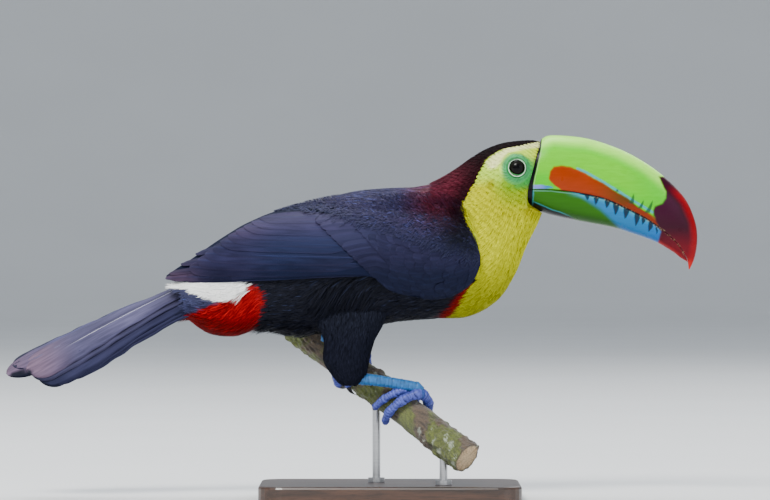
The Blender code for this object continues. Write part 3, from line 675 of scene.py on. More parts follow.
def plumage_colour(points, tint):
    """Linear colour of skin and feathers at places in mm, one set of markings for both, with painted light
    and shade.
    """
    x, z = points[..., 0], points[..., 2]
    wander = ripple(points, 9.0, 1.0)
    surface_colour = np.broadcast_to(tint["black"], points.shape)
    # Painted light from above: the mantle lighter and violet.
    surface_colour = blend(surface_colour, tint["black"] * (8.0, 5.8, 6.6), ease(160, 176, z) * ease(44, 20, x))
    surface_colour = blend(surface_colour, tint["cap"], ease(190, 214, z) * ease(10, 40, x))
    ahead = x - table_at(BIB_EDGE, z) + 1.1 * wander
    nape = ease(2, 26, x) * ease(170, 192, z) * ease(230, 208, z)
    dim = blend(0.35, 1.0, ease(180, 204, z)) * blend(1.0, 0.3, ease(-16, -3, ahead))
    surface_colour = blend(surface_colour, tint["maroon"] * dim[..., None], nape * (0.8 + 0.2 * wander))
    surface_colour = blend(surface_colour, yellow_face_colour(points, wander, tint), ease(-0.8, 0.8, ahead))

    width = np.interp(z, (118, 125, 139, 143), (8.5, 8, 3, 0))
    band = ease(-width - 2.0, 0.2 * -width, ahead) ** 0.8 * ease(0.9, -0.6, ahead) * ease(143, 140, z)
    surface_colour = blend(surface_colour, tint["band"], band)

    line = z - table_at(WHITE_EDGE, x) + 0.8 * wander
    above = np.interp(x, (-108.0, -95.1, -92.4), (150.0, 142.0, 139.9))
    upper_vent = -82.7 - 0.1 * np.maximum(z - 133, 0) ** 2
    lower_vent = -83.2 - 0.3 * np.maximum(128 - z, 0) - 0.016 * np.maximum(118 - z, 0) ** 2
    vent = np.where(z > 133, upper_vent, lower_vent)
    red = ease(0.8, -0.8, x - vent + 0.9 * wander) * ease(0.8, -0.8, line)
    # Painted shade: the crimson darker low down and towards the rear.
    crimson = tint["red"] * blend(1.0, 0.5, ease(126, 112, z + 0.22 * (x + 100)))[..., None]
    surface_colour = blend(surface_colour, crimson, red * ease(142, 139.5, z))
    surface_colour = blend(surface_colour, tint["white"], ease(-0.8, 0.8, line) * ease(0.8, -0.8, z - above) * ease(-89, -91, x))
    slate = ease(0.6, -0.6, to_patch(x, z, TAIL_WEDGE) + 0.6 * wander)
    # Painted shade: the tail's base darker low down.
    base = tint["slate"] * blend(0.35, 1.15, ease(112, 128, z + 0.35 * (x + 130)))[..., None]
    return blend(surface_colour, base, slate)


def tints(settings):
    """The colours of one group of settings, by name."""
    return {key: np.array(getattr(settings, key)) for key in settings.bl_rna.properties.keys()
            if key not in ("rna_type", "name", "depth", "lift")}


# ---- Materials ----


@made_once
def feather(name, roughness, gloss, sheen, tint, depth):
    """Contour feathers: keratin barbs pigmented through. The barbs give a soft, streaked surface whose sheen
    shows at grazing angles; black ones throw back a blue violet gloss."""
    material, tree, shader = new_material(
        name, Roughness=roughness, Sheen_Weight=sheen, Sheen_Roughness=0.4, Sheen_Tint=opaque(tint),
        Specular_IOR_Level=gloss,
    )
    along = add_node(tree, "UVMap", uv_map="Vane")
    # Barbs stand 0.1 mm apart, too fine to show: drawn as streaks about 0.4 mm wide.
    streaks = add_node(tree, "Mapping", {"Vector": along.outputs[0], "Scale": (2.2, 0.12, 1.0)})
    noise_map = add_node(tree, "TexNoise", {"Vector": streaks.outputs[0], "Scale": 1.0, "Detail": 2.0},
                         noise_dimensions="2D")
    vary_painted_colour(tree, shader, noise_map, 1 - depth, 1 + depth)
    bump = add_node(tree, "Bump", {"Height": noise_map.outputs[0], "Strength": 0.35, "Distance": 0.0002})
    tree.links.new(bump.outputs[0], shader.inputs["Normal"])
    return material


@made_once
def flight_feather():
    """Flight feathers: smooth, tightly zipped vanes of black keratin, slightly glossy, with oblique barbs."""
    material, tree, shader = new_material(
        "flight_feather_keratin", Specular_IOR_Level=0.22, Specular_Tint=opaque("#9aa6f0"),
        Sheen_Weight=0.03, Sheen_Roughness=0.35, Sheen_Tint=opaque("#5a66d8"),
    )
    along = add_node(tree, "UVMap", uv_map="Vane")
    # Barbs every 0.3 mm would vanish in the render: drawn every 1.2 mm, swept back from the shaft.
    barbs = add_node(tree, "TexWave", {"Vector": along.outputs[0], "Scale": 0.26, "Distortion": 0.8,
                                       "Detail": 2.0, "Detail Scale": 0.8}, bands_direction="Y")
    streaks = add_node(tree, "Mapping", {"Vector": along.outputs[0], "Scale": (0.5, 0.06, 1.0)})
    noise_map = add_node(tree, "TexNoise", {"Vector": streaks.outputs[0], "Scale": 1.0, "Detail": 3.0},
                         noise_dimensions="2D")
    vary_painted_colour(tree, shader, noise_map, 0.78, 1.25)
    gloss = add_node(tree, "MapRange", {"Value": noise_map.outputs[0], "To Min": 0.42, "To Max": 0.6})
    tree.links.new(gloss.outputs[0], shader.inputs["Roughness"])
    relief = add_node(tree, "Bump", {"Height": barbs.outputs[1], "Strength": 0.22, "Distance": 0.00012})
    tree.links.new(relief.outputs[0], shader.inputs["Normal"])
    return material


def bird_skin():
    """Bare skin: fine papillae and creases, matt with a faint moist gloss round the eye and on the scutes."""
    material, tree, shader = new_material(
        "bird_skin", Roughness=0.5, Specular_IOR_Level=0.35, Coat_Weight=0.08, Coat_Roughness=0.3,
    )
    place = add_node(tree, "TexCoord").outputs["Object"]
    # Papillae about 0.5 mm across.
    grain = add_node(tree, "TexVoronoi", {"Vector": place, "Scale": 2000.0, "Randomness": 0.9})
    mottle = add_node(tree, "TexNoise", {"Vector": place, "Scale": 330.0, "Detail": 3.0})
    vary_painted_colour(tree, shader, mottle, 0.8, 1.2)
    bump = add_node(tree, "Bump", {"Height": grain.outputs[0], "Strength": 0.3, "Distance": 0.00015})
    tree.links.new(bump.outputs[0], shader.inputs["Normal"])
    return material


@made_once
def bill_horn():
    """Horn sheath of the bill: keratin over bone, waxy and polished, with faint growth lines and scuffs."""
    material, tree, shader = new_material(
        "bill_horn", Specular_IOR_Level=0.13, Coat_Weight=0.05, Coat_Roughness=0.2,
    )
    place = add_node(tree, "TexCoord").outputs["Object"]
    # Growth lines run along the bill, about 1.5 mm apart.
    grown = add_node(tree, "Mapping", {"Vector": place, "Rotation": (0.0, 0.35, 0.0),
                                       "Scale": (60.0, 650.0, 650.0)})
    lines = add_node(tree, "TexNoise", {"Vector": grown.outputs[0], "Scale": 1.0, "Detail": 3.0})
    clouds = add_node(tree, "TexNoise", {"Vector": place, "Scale": 90.0, "Detail": 2.0})
    vary_painted_colour(tree, shader, lines, 0.93, 1.07)
    gloss = add_node(tree, "MapRange", {"Value": clouds.outputs[0], "From Min": 0.3, "From Max": 0.7,
                                        "To Min": 0.26, "To Max": 0.42})
    tree.links.new(gloss.outputs[0], shader.inputs["Roughness"])
    bump = add_node(tree, "Bump", {"Height": lines.outputs[0], "Strength": 0.25, "Distance": 0.0002})
    tree.links.new(bump.outputs[0], shader.inputs["Normal"])
    return material


# ---- Skin and legs ----


def coat_depth(points, depth):
    """Depth of the feathers over the skin in mm: least on the face and round the eye."""
    x, z = points[..., 0], points[..., 2]
    face = ease(193, 208, z) * ease(52, 72, x)
    deep = blend(depth / MM, depth / MM * 0.6, face)
    near_eye = ease(15, 10, np.hypot(x - EYE[0], z - EYE[2]))
    return blend(deep, 0.2, near_eye)


def branch_axes():
    """Unit ways along the branch, up from its top and sideways from it."""
    up = unit(np.array((0, 0, 1.0)) - BRANCH_WAY * BRANCH_WAY[2])
    return BRANCH_WAY, up, unit(np.cross(BRANCH_WAY, up))


def on_branch(where, angle, distance):
    """Places round the branch: mm along it, degrees from its top, mm from its axis."""
    along, up, near = branch_axes()
    where, turn, distance = (np.asarray(v, float)[..., None] for v in (where, np.radians(angle), distance))
    return BRANCH_POINT + along * where + (up * np.cos(turn) + near * np.sin(turn)) * distance


def tube(path, radii, sides):
    """Rings round a path of points; radii is (points, 2), outwards and across."""
    path, across, rings = np.asarray(path, float), np.array((0, 1.0, 0)), []
    turn = np.arange(sides) * math.tau / sides
    for k, point in enumerate(path):
        forward = unit(path[min(k + 1, len(path) - 1)] - path[max(k - 1, 0)])
        across = unit(across - forward * (across @ forward))
        out = np.outer(np.sin(turn), np.cross(forward, across)) * radii[k][0]
        rings.append(point + out + np.outer(np.cos(turn), across) * radii[k][1])
    return np.array(rings)


def scutes(distance, pitch):
    """Height of overlapping scales along a leg or toe, 0 in a groove to 1 on a crest."""
    place = (distance / pitch) % 1.0
    return ease(0.0, 0.22, place) * (1 - 0.45 * place)


def scaled_tube(name, path, radii, pitch, relief, tint, groove, sides=28):
    """A tube with uneven scutes and fine wrinkles across it, coloured from groove to crest; the dark of the
    grooves is painted shade.
    """
    path = np.asarray(path, float)
    travelled = np.concatenate(((0,), np.cumsum(np.linalg.norm(np.diff(path, axis=0), axis=1))))[:, None]
    turn = np.arange(sides) * math.tau / sides
    uneven = travelled + 0.5 * np.sin(travelled * 0.8) + 0.35 * np.sin(2 * turn + travelled * 0.9)
    crest = scutes(uneven, pitch)
    rings = tube(path, np.asarray(radii, float), sides)
    spoke = rings - path[:, None]
    wrinkle = ripple(rings, 0.9, 3.0)
    rings = path[:, None] + spoke * (1 - relief + relief * crest + 0.035 * wrinkle)[..., None]
    # Painted shade in the grooves between scutes, lighter on the crests, with a little noise.
    crest_share = np.clip(crest * 0.9 + 0.18 * ripple(rings, 2.5, 4.0) + 0.12 * wrinkle, 0, 1.3)
    return loft(name, rings, surface_colour=np.clip(blend(groove, tint, crest_share), 0, 1))


def toe_axis(radius):
    """How far a toe's middle stands from the branch's axis."""
    return TOE_SEAT + radius * 1.12


def leg_meshes(side, tint):
    """Shank, pad and four toes of one foot."""
    along, mirror = FEET[side]
    heel = np.array(HEELS[side])
    pad = on_branch(along, 0.0, FOOT_LIFT)
    ankle = on_branch(along, 0.0, FOOT_LIFT + ANKLE_LIFT)
    azure, cobalt = tint["azure"], tint["cobalt"]
    share = np.linspace(-0.12, 1, 90)[:, None]
    bend = np.sin(np.clip(share, 0, 1) * math.pi) * np.array((0.0, 0.0, 0.5))
    path = np.concatenate((heel + (ankle - heel) * share * 0.98 + bend, (pad - (0, 0, 1.0))[None]))
    thick = table_at(((-0.12, 3.4), (0, 4.2), (0.15, 3.95), (0.5, 3.6), (0.9, 3.7), (1, 3.9)), share[:, 0])
    thick = np.append(thick, 3.2)
    # The shank's grooves darken to a painted shade.
    meshes = [scaled_tube("shank", path, np.stack((thick, thick * 0.86), 1), 2.6, 0.10, azure, azure * 0.4)]
    bm = bmesh.new()
    bmesh.ops.create_uvsphere(bm, u_segments=28, v_segments=18, radius=4.7)
    turn = Vector(branch_axes()[1]).to_track_quat("Z", "X").to_matrix().to_4x4()
    place = Matrix.Scale(MM, 4) @ Matrix.Translation(Vector(pad)) @ turn
    bmesh.ops.transform(bm, matrix=place @ Matrix.Diagonal((1.25, 1.05, 0.85, 1.0)), verts=bm.verts)
    meshes.append(mesh_of(bm, "pad"))
    dots = ripple(points_of(meshes[-1]), 1.2, 2.0)
    paint(meshes[-1], blend(cobalt * 0.5, blend(cobalt, azure, 0.5), np.clip(0.6 + 0.5 * dots, 0, 1)))
    crest = blend(azure, cobalt, 0.88) * 1.4 + (0.035, 0.03, 0.0)
    t = np.linspace(0, 1, 110)
    knuckle = 1 + 0.1 * np.cos(t * 3 * math.tau)
    for end, root_drift, end_drift, root_radius, end_radius in TOES:
        radius = root_radius + (end_radius - root_radius) * t
        start = math.copysign(TOE_START, end)
        drift = (root_drift + (end_drift - root_drift) * t) * mirror
        distance = toe_axis(radius) + np.exp(-((t / 0.12) ** 2))
        path = on_branch(along + drift, start + (end - start) * t, distance)
        size = 1.24 * radius * knuckle * np.where(t > 0.97, 0.94, 1.0)
        radii = np.stack((size, size), 1)
        # The toes' grooves darken to a painted shade.
        meshes.append(scaled_tube("toe", path, radii, 1.9, 0.34, crest, cobalt * 0.22, 26))
    return meshes


def thigh_point(table, at, turn, grow=0.0):
    """Places on a feathered thigh, ring by ring from the body down to the heel."""
    at, turn = np.broadcast_arrays(np.asarray(at, float), np.asarray(turn, float))
    inside = np.clip(at, 0, len(table) - 1)
    rows = rows_at(table, inside)
    x = rows[..., 0] + (rows[..., 3] + grow) * np.cos(turn)
    y = rows[..., 1] + (rows[..., 4] + grow) * np.sin(turn)
    return np.stack((x, y, rows[..., 2] - (at - inside) * 7.0), -1)


def eyelid_mesh(side, tint):
    """Lid rim and creased bare skin round one eye, a fine ring laid on the face."""
    around, out = np.linspace(0, math.tau, 133)[:-1], np.linspace(0, 1, 34)
    far = 5.0 + 6.6 * out[:, None] ** 1.1
    stretch = 1 + 0.12 * ease(0, 1, out)[:, None] * np.cos(around - math.radians(215))
    x = EYE[0] + far * stretch * np.cos(around) - 0.3 * out[:, None]
    z = EYE[2] + far * stretch * np.sin(around)
    at, turn = find_on_body(x, z, side)
    lid = 0.95 * np.exp(-(((far - 5.6) / 0.5) ** 2)) - 0.5 * np.exp(-(((far - 6.35) / 0.26) ** 2))
    crease = 0.22 * np.exp(-(((far - 8.0) / 0.35) ** 2)) * (1 + np.sin(3 * around)) / 2
    folds = 0.13 * np.sin(around * 26 + 3 * far) * ease(6.6, 8.0, far) * ease(11.2, 9.5, far)
    rise = 0.15 + lid - crease + folds - 0.9 * ease(9.6, 11.6, far) + 0.5 * ease(9.5, 7.0, far)
    places = body_point(at, turn, rise)
    mesh = loft("eyelid", places, cap=False)
    points = points_of(mesh)
    radius = np.hypot(points[:, 0] - EYE[0], points[:, 2] - EYE[2])
    surface_colour = plumage_colour(points, tint)
    mottle = 1.0 + 0.2 * ripple(points, 1.6, 5.0) - 0.25 * ease(84, 92, points[:, 0])
    bare = tint["bare"] * mottle[:, None]
    surface_colour = blend(surface_colour, bare * 0.9, ease(11.0, 8.2, radius))
    ring = ease(5.25, 5.4, radius) * ease(5.95, 5.75, radius)
    surface_colour = blend(surface_colour, linear("#ceefce"), ring * 0.95)
    surface_colour = blend(surface_colour, bare * 0.25, np.exp(-(((radius - 6.35) / 0.3) ** 2)) * 0.6)
    paint(mesh, blend(surface_colour, linear("#121614"), ease(5.3, 5.1, radius)))
    return mesh


def united(meshes, voxel):
    """One closed skin round several overlapping shells."""
    mesh = join(meshes, "skin_shells")
    shell = bpy.data.objects.new("skin_shells", mesh)
    bpy.context.scene.collection.objects.link(shell)
    remesh = shell.modifiers.new("Remesh", "REMESH")
    remesh.mode, remesh.voxel_size = "VOXEL", voxel * MM
    smooth = shell.modifiers.new("Smooth", "SMOOTH")
    smooth.factor, smooth.iterations = 0.5, 4
    made = bpy.data.meshes.new_from_object(shell.evaluated_get(bpy.context.evaluated_depsgraph_get()))
    bpy.data.objects.remove(shell)
    bpy.data.meshes.remove(mesh)
    return made


class TOUCAN_OT_skin(bpy.types.Operator):
    """One skin over body, thighs, lids, shanks and toes, under the feathers by the coat's depth"""

    bl_idname = "toucan.skin"
    bl_label = "Skin and legs"

    def execute(self, context):
        plumage = context.scene.toucan_plumage
        tint, legs = tints(plumage), tints(context.scene.toucan_legs)
        stations, turns = np.linspace(0, BODY_END, 230), np.linspace(0, math.tau, 181)[:-1]
        outer = body_point(stations[:, None], turns)
        body = body_point(stations[:, None], turns, -coat_depth(outer, plumage.depth))
        shells = [loft("body", face_limit(body))]
        for table in THIGHS.values():
            at = np.linspace(0, len(table) - 1, 60)[:, None]
            shells.append(loft("thigh", thigh_point(table, at, turns[::3], -1.4 - 0.8 * ease(4, 5, at))))
        skin = united(shells, SKIN_VOXEL)
        paint(skin, plumage_colour(points_of(skin), tint) * 0.8)
        meshes = [skin] + [eyelid_mesh(side, tint) for side in (1, -1)]
        for side in FEET:
            meshes += leg_meshes(side, legs)
        flesh = ["trunk", "neck", "head"]
        flesh += [f"{part}_{side}" for part in ("thigh", "shank", "foot") for side in FEET]
        piece("skin", join(meshes, "skin"), bird_skin(), flesh)
        return {"FINISHED"}


class TOUCAN_OT_eyes(bpy.types.Operator):
    """Dark, wet eyeballs, sunk in the head to their lids"""

    bl_idname = "toucan.eyes"
    bl_label = "Eyes"

    def execute(self, context):
        # A wet cornea over a dark brown iris: one clear, sharp highlight.
        material, tree, shader = new_material(
            "wet_cornea", Roughness=0.35, Specular_IOR_Level=0.05, Coat_Weight=0.5, Coat_Roughness=0.02,
            Coat_IOR=1.25,
        )
        place = add_node(tree, "TexCoord").outputs["Object"]
        fibres = add_node(tree, "TexNoise", {"Vector": place, "Scale": 1600.0, "Detail": 2.0})
        vary_painted_colour(tree, shader, fibres, 0.5, 1.5, (0, 1))
        for side, name in ((1, "eye_left"), (-1, "eye_right")):
            centre = EYE * (1, side, 1)
            bm = bmesh.new()
            bmesh.ops.create_uvsphere(bm, u_segments=64, v_segments=48, radius=EYE_RADIUS * MM)
            place = Matrix.Translation(Vector(centre) * MM) @ Matrix.Rotation(math.pi / 2, 4, "X")
            bmesh.ops.transform(bm, matrix=place, verts=bm.verts)
            mesh = mesh_of(bm, name)
            ray = unit(points_of(mesh) - centre)
            off_axis = np.degrees(np.arccos(np.clip(ray[:, 1] * side, -1, 1)))
            surface_colour = blend(linear("#020203"), linear("#12120d"), ease(23, 26, off_axis))
            paint(mesh, blend(surface_colour, linear("#070a07"), ease(41, 47, off_axis)))
            piece(f"{name}_ball", mesh, material, [name])
        return {"FINISHED"}


# ---- Feathers of the body ----


def lay_tufts(surface, at, turn, size, seed, rows):
    """Tufts rooted in the skin that lie back along a surface: places, and along and across of each point.
    size holds length, width, depth, lift and wave in mm, a number or one per tuft."""
    place, faces = template(rows, 2)
    random = np.random.default_rng(seed)
    count = len(at)
    t, across = place[:, 0] / rows, place[:, 1] - 1.0
    length_mm = size["length"] * random.uniform(0.8, 1.2, count)
    _, forward, sideways, _ = surface_frame(surface, at, turn, 0.0)
    pace, breadth = (np.maximum(np.linalg.norm(way, axis=-1), 4.0) for way in (forward, sideways))
    drift = (size.get("drift", 0.0) + random.normal(0, 0.10, count))[:, None] * t**1.2
    phase = random.uniform(0, math.tau, count)[:, None]
    wave = np.broadcast_to(size["wave"], count)[:, None] * (np.sin(phase + 4.5 * t) - np.sin(phase))
    lift = (np.broadcast_to(size["lift"], count) * random.uniform(0.2, 1.6, count))[:, None]
    depth = np.broadcast_to(size["depth"], count)[:, None]
    width = (size["width"] * random.uniform(0.8, 1.2, count))[:, None]
    grow = -1.05 * depth + (1.05 * depth + lift) * t**0.85
    there = at[:, None] - t * (length_mm / pace)[:, None]
    turned = turn[:, None] + (drift * length_mm[:, None] + wave) / breadth[:, None]
    middle, _, sideways, normal = surface_frame(surface, there, turned, grow)
    half = width * np.interp(t, (0, 0.25, 0.6, 0.85, 1), (0.3, 0.48, 0.5, 0.34, 0.03))
    roll = random.normal(0, 0.22, count)[:, None]
    side = unit(sideways)
    reach = (across * half)[..., None]
    camber = (0.3 * half * (1 - across**2))[..., None]
    places = middle + side * reach * np.cos(roll)[..., None]
    places = places + normal * (reach * np.sin(roll)[..., None] + camber)
    vane = np.stack((across * half + random.uniform(0, 90, count)[:, None], t * length_mm[:, None]), -1)
    return places, faces, vane


def tuft_colours(places, rows, tint, spread, seed, strands=0.0, yellow=False):
    """Each tuft's colour from the markings near its tip, varied a little, and darker towards its root, a
    painted shade under the tufts that overlap it.
    Yellow ones keep their colour where they overhang the black."""
    random = np.random.default_rng(seed)
    count = len(places)
    near_tip = 3 * round(rows * 0.75) + 1
    spots = places[:, near_tip].copy()
    if yellow:
        least = table_at(BIB_EDGE, spots[:, 2]) + YELLOW_OVERHANG
        spots[:, 0] = np.where(spots[:, 2] > 145, np.maximum(spots[:, 0], least), spots[:, 0])
    surface_colour = plumage_colour(spots, tint) * np.exp(random.normal(0, spread, count))[:, None]
    pale = (random.random(count) < strands)[:, None]
    surface_colour = np.where(pale, surface_colour * (1.2, 1.6, 2.2) + (0.010, 0.011, 0.018), surface_colour)
    # Painted shade towards each tuft's root, where the tufts overlap.
    shade = np.repeat(np.linspace(0.8, 1.06, rows + 1), 3)
    return np.clip(surface_colour[:, None] * shade[None, :, None], 0, 0.98)


def coat_piece(name, places, faces, surface_colour, vane, rows, root, material):
    """A coat piece of laid tufts. Each has its patch on the bake map at its root's place on the surface,
    given as shares of the way along and round it."""
    t, across = template(rows, 2)[0].T
    root = np.stack((0.01 + 0.98 * root[1], 0.01 + 0.98 * root[0]), -1)[:, None]
    patch = np.stack(((across - 1.0) / 2, t / rows - 0.5), -1)[None] * TUFT_PATCH
    piece(name, joined(name, places, faces, surface_colour, root + patch, vane), material, ())


def coat_kinds():
    """Kinds of body feather: spacing, length, width, lift, wave, spread of colour, share of pale strands,
    rows, material."""
    black = feather("black_contour_feathers", 0.5, 0.14, 0.03, "#5a66d0", 0.3)
    flank = feather("black_flank_feathers", 0.6, 0.115, 0.0, "#ffffff", 0.3)
    crown = feather("maroon_crown_feathers", 0.62, 0.05, 0.0, "#ffffff", 0.3)
    soft = feather("lemon_down_feathers", 0.7, 0.05, 0.0, "#fff07a", 0.1)
    white = feather("white_down_feathers", 0.7, 0.2, 0.05, "#ffffff", 0.05)
    red = feather("crimson_down_feathers", 0.6, 0.05, 0.0, "#ff5a40", 0.22)
    return {
        "face": (0.62, 3.4, 0.50, 0.10, 0.05, 0.05, 0.0, 3, soft),
        "cap": (0.80, 5.0, 0.60, 0.15, 0.10, 0.20, 0.0, 4, crown),
        "bib": (0.82, 7.2, 0.55, 0.18, 0.20, 0.08, 0.0, 4, soft),
        "mantle": (1.05, 12.0, 0.68, 0.35, 0.55, 0.34, 0.16, 5, black),
        "flanks": (1.22, 12.0, 1.05, 0.35, 0.35, 0.22, 0.03, 5, flank),
        "rump": (0.85, 12.0, 0.75, 0.55, 0.50, 0.03, 0.0, 6, white),
        "undertail": (0.82, 15.0, 0.60, 1.10, 0.90, 0.42, 0.0, 6, red),
    }


def coat_region(points):
    """The kind of feather, as a number in coat_kinds' order, at each place on the body."""
    x, z = points[..., 0], points[..., 2]
    ahead = x - table_at(BIB_EDGE, z)
    line = table_at(WHITE_EDGE, x)
    kind = np.full(x.shape, 4)
    kind[(z > 150) & (x < 60)] = 3
    kind[(ahead <= 1.5) & (z > 196) & (x > 30)] = 1
    kind[(ahead > 0.5) & (z > 118)] = 2
    kind[(ahead > 0.5) & (z > 196)] = 0
    kind[(x < -88) & (z > line) & (z < 152)] = 5
    kind[(x < -79) & (z <= line) & (z < 140)] = 6
    kind[to_patch(x, z, TAIL_WEDGE) < 1.0] = 4
    return kind


def tuft_size(name, kind, roots, plumage):
    """Sizes in mm of one kind's tufts at their roots, as lay_tufts takes them."""
    _, long, wide, lift, wave = kind[:5]
    x, y, z = roots.T
    size = {"length": long, "width": wide, "depth": coat_depth(roots, plumage.depth),
            "lift": lift * plumage.lift / (USUAL_LIFT * MM), "wave": wave}
    if name == "face":
        size["length"] = blend(2.4, 4.2, ease(96, 78, x))
    if name == "bib":
        size["length"] = blend(4.2, 8.5, ease(198, 160, z))
        size["width"] = blend(0.5, 0.62, ease(198, 160, z))
    if name in ("face", "bib"):  # short along the edge of the black
        ahead = x - table_at(BIB_EDGE, z)
        size["length"] = size["length"] * blend(0.5, 1.0, np.maximum(ease(0, 7, ahead), ease(150, 140, z)))
    if name == "rump":  # kept short of the wing's lower edge
        size["length"] = np.minimum(long, np.maximum(x + 145, 3.5))
        size["lift"] = size["lift"] * ease(146, 140, z)
    if name == "undertail":  # these curl down and back under the tail
        size["length"] = np.minimum(long, np.maximum(x + 138, 3.5))
        size["drift"] = -np.sign(y) * 0.45 * ease(-120, -96, x)
    if name == "flanks":  # long over the thigh's top and loose along the belly
        base = to_patch(x, z, TAIL_WEDGE) < 1.5
        hip = np.exp(-(((x + 24) / 21) ** 4)) * ease(150, 140, z) * ease(118, 128, z)
        belly = ease(118, 112, z) * ease(-100, -90, x) * ease(-38, -50, x)
        size["length"] = np.where(base, 6.0, long - 3 * hip + 2 * belly)
        size["lift"] = np.where(base, 0.06, size["lift"] + 2.0 * hip + 2.8 * belly)
        size["wave"] = np.where(base, 0.02, wave + 0.8 * belly)
        size["drift"] = -np.sign(y) * (1.5 * hip + 0.25 * belly)
    return size


class TOUCAN_OT_coat(bpy.types.Operator):
    """Feathers of head, neck, body and thighs, in overlapping tufts that follow the lie of the plumage"""

    bl_idname = "toucan.coat"
    bl_label = "Body feathers"

    def execute(self, context):
        plumage = context.scene.toucan_plumage
        tint = tints(plumage)
        kinds = coat_kinds()
        spacing = np.array([kind[0] for kind in kinds.values()])
        spread = even_spread(BODY_TRIALS, 0.37)
        at, turn = spread[:, 0] * BODY_END, spread[:, 1] * math.tau
        root, forward, sideways, _ = surface_frame(body_point, at, turn, 0.0)
        region = coat_region(root)
        cell = np.linalg.norm(np.cross(sideways, forward), axis=-1) * BODY_END * math.tau / BODY_TRIALS
        keep = spread[:, 2] < cell / spacing[region] ** 2
        x, y, z = root.T
        keep &= ~((x > table_at(BASE_EDGE, z) - BASE_GAP) & (z > BASE_FOOT))
        keep &= ~((x > 89.5) & (z < 200) & (z > keel_height(x, 191.2)))
        keep &= np.hypot(x - EYE[0] + 0.5, z - EYE[2]) + spread[:, 2] * 0.8 > 10.2
        rows = wing_row(x)
        keep &= ~((x > -122) & (x < 50) & (z < rows[:, 4] - 9) & (z > rows[:, 5] + 7) & (np.abs(y) > 9))
        keep &= ~((x < -134) & (region == 4))
        for number, (name, kind) in enumerate(kinds.items()):
            spread_by, strands, count, material = kind[5:]
            chosen = keep & (region == number)
            a, b = at[chosen], turn[chosen]
            size = tuft_size(name, kind, root[chosen], plumage)
            places, faces, vane = lay_tufts(body_point, a, b, size, number + 1, count)
            face_limit(places)
            yellow = name in ("face", "bib")
            surface_colour = tuft_colours(places, count, tint, spread_by, number + 20, strands, yellow)
            root_share = a / BODY_END, b / math.tau
            coat_piece(f"coat_{name}", places, faces, surface_colour, vane, count, root_share, material)
        for number, (side, table) in enumerate(THIGHS.items()):
            self.thigh(side, table, tint, 40 + number)
        for side, label in ((1, "left"), (-1, "right")):
            self.shoulder(side, label, tint, kinds["mantle"][-1])
        return {"FINISHED"}

    def shoulder(self, side, label, tint, material):
        """Fine, wavy feathers that flow from the back over the upper edge of the folded wing."""
        random = np.random.default_rng(60 + side)
        spread = random.random((SIDE_TRIALS, 2))

        def surface(at, turn, grow=0.0):
            return wing_point(at, -side * turn, grow + 0.8, side)

        x, share = SHOULDER_REAR + SHOULDER_LONG * spread[:, 0], -0.42 + 1.0 * spread[:, 1]
        root, forward, sideways, _ = surface_frame(surface, x, -side * share, 0.0)
        cell = np.linalg.norm(np.cross(sideways, forward), axis=-1) * SHOULDER_LONG / SIDE_TRIALS
        lowest = table_at(SHOULDER_EDGE, x) + random.normal(0, 2.0, SIDE_TRIALS)
        keep = (random.random(SIDE_TRIALS) < cell / SHOULDER_SPACING**2) & (share < wing_share(x, lowest))
        x, share, root = x[keep], share[keep], root[keep]
        low = ease(12, 0, root[:, 2] - table_at(SHOULDER_EDGE, x))
        size = {"length": 12.0, "width": 0.6, "lift": blend(0.5, 0.12, low), "wave": 0.55,
                "drift": -side * (0.06 + 0.12 * low),
                "depth": table_at(((-0.42, 3.8), (-0.12, 3.4), (0.0, 1.4), (0.1, 0.5)), share)}
        places, faces, vane = lay_tufts(surface, x, -side * share, size, 60 + side, 6)
        surface_colour = tuft_colours(places, 6, tint, 0.24, 61 + side, 0.08)
        sheen = tint["black"] * (4.2, 4.0, 5.2)
        surface_colour = blend(surface_colour, sheen, np.repeat((low * 0.75)[:, None], surface_colour.shape[1], 1))
        coat_piece(f"coat_shoulder_{label}", places, faces, surface_colour, vane, 6,
                   ((x + 75) / 134, (share + 0.42) / 1.1), material)

    def thigh(self, side, table, tint, seed):
        """Matt, short feathers down one thigh, sunk in the flank's at its top."""
        last = len(table) - 1
        spread = even_spread(SIDE_TRIALS, 0.11 * seed)

        def surface(at, turn, grow=0.0):
            return thigh_point(table, -at, turn, grow)

        at, turn = -(0.12 + 0.78 * spread[:, 0]) * last, spread[:, 1] * math.tau
        _, forward, sideways, _ = surface_frame(surface, at, turn, 0.0)
        cell = np.linalg.norm(np.cross(sideways, forward), axis=-1) * 0.78 * last * math.tau / SIDE_TRIALS
        keep = spread[:, 2] < cell / THIGH_SPACING**2
        at, turn = at[keep], turn[keep]
        down = -at / last
        size = {"length": table_at(((0, 11.0), (0.55, 9.0), (0.75, 6.0), (0.9, 3.2)), down), "width": 0.9,
                "depth": table_at(((0.12, 2.4), (0.24, 1.5), (0.5, 1.3)), down), "lift": 0.3, "wave": 0.3}
        places, faces, vane = lay_tufts(surface, at, turn, size, seed, 5)
        paler = blend(np.array((1.9, 1.8, 1.5)), (2.5, 2.4, 1.8), ease(100, 122, places[..., 2]))
        surface_colour = tuft_colours(places, 5, tint, 0.22, seed) * paler
        material = feather("black_thigh_down", 0.8, 0.03, 0.0, "#ffffff", 0.3)
        coat_piece(f"coat_thigh_{side}", places, faces, surface_colour, vane, 5, (down, turn / math.tau), material)


# ---- Wings and tail ----


def vane_outline(t, half, long, roundness):
    """Half width of a feather along it: drawn in at the quill, rounded over its last few widths."""
    tip = np.clip(1 - roundness * half / long, 0.3, 0.97)
    end = np.clip((t - tip) / (1 - tip), 0, 1)
    return half * np.minimum(1, (t / 0.14 + 0.02) ** 0.45) * np.sqrt(np.maximum(1 - end**2.2, 0.0004))


VANE_ACROSS = np.array((-1.0, -0.8, -0.5, -0.2, -0.015, 0.0, 0.015, 0.2, 0.5, 0.8, 1.0))


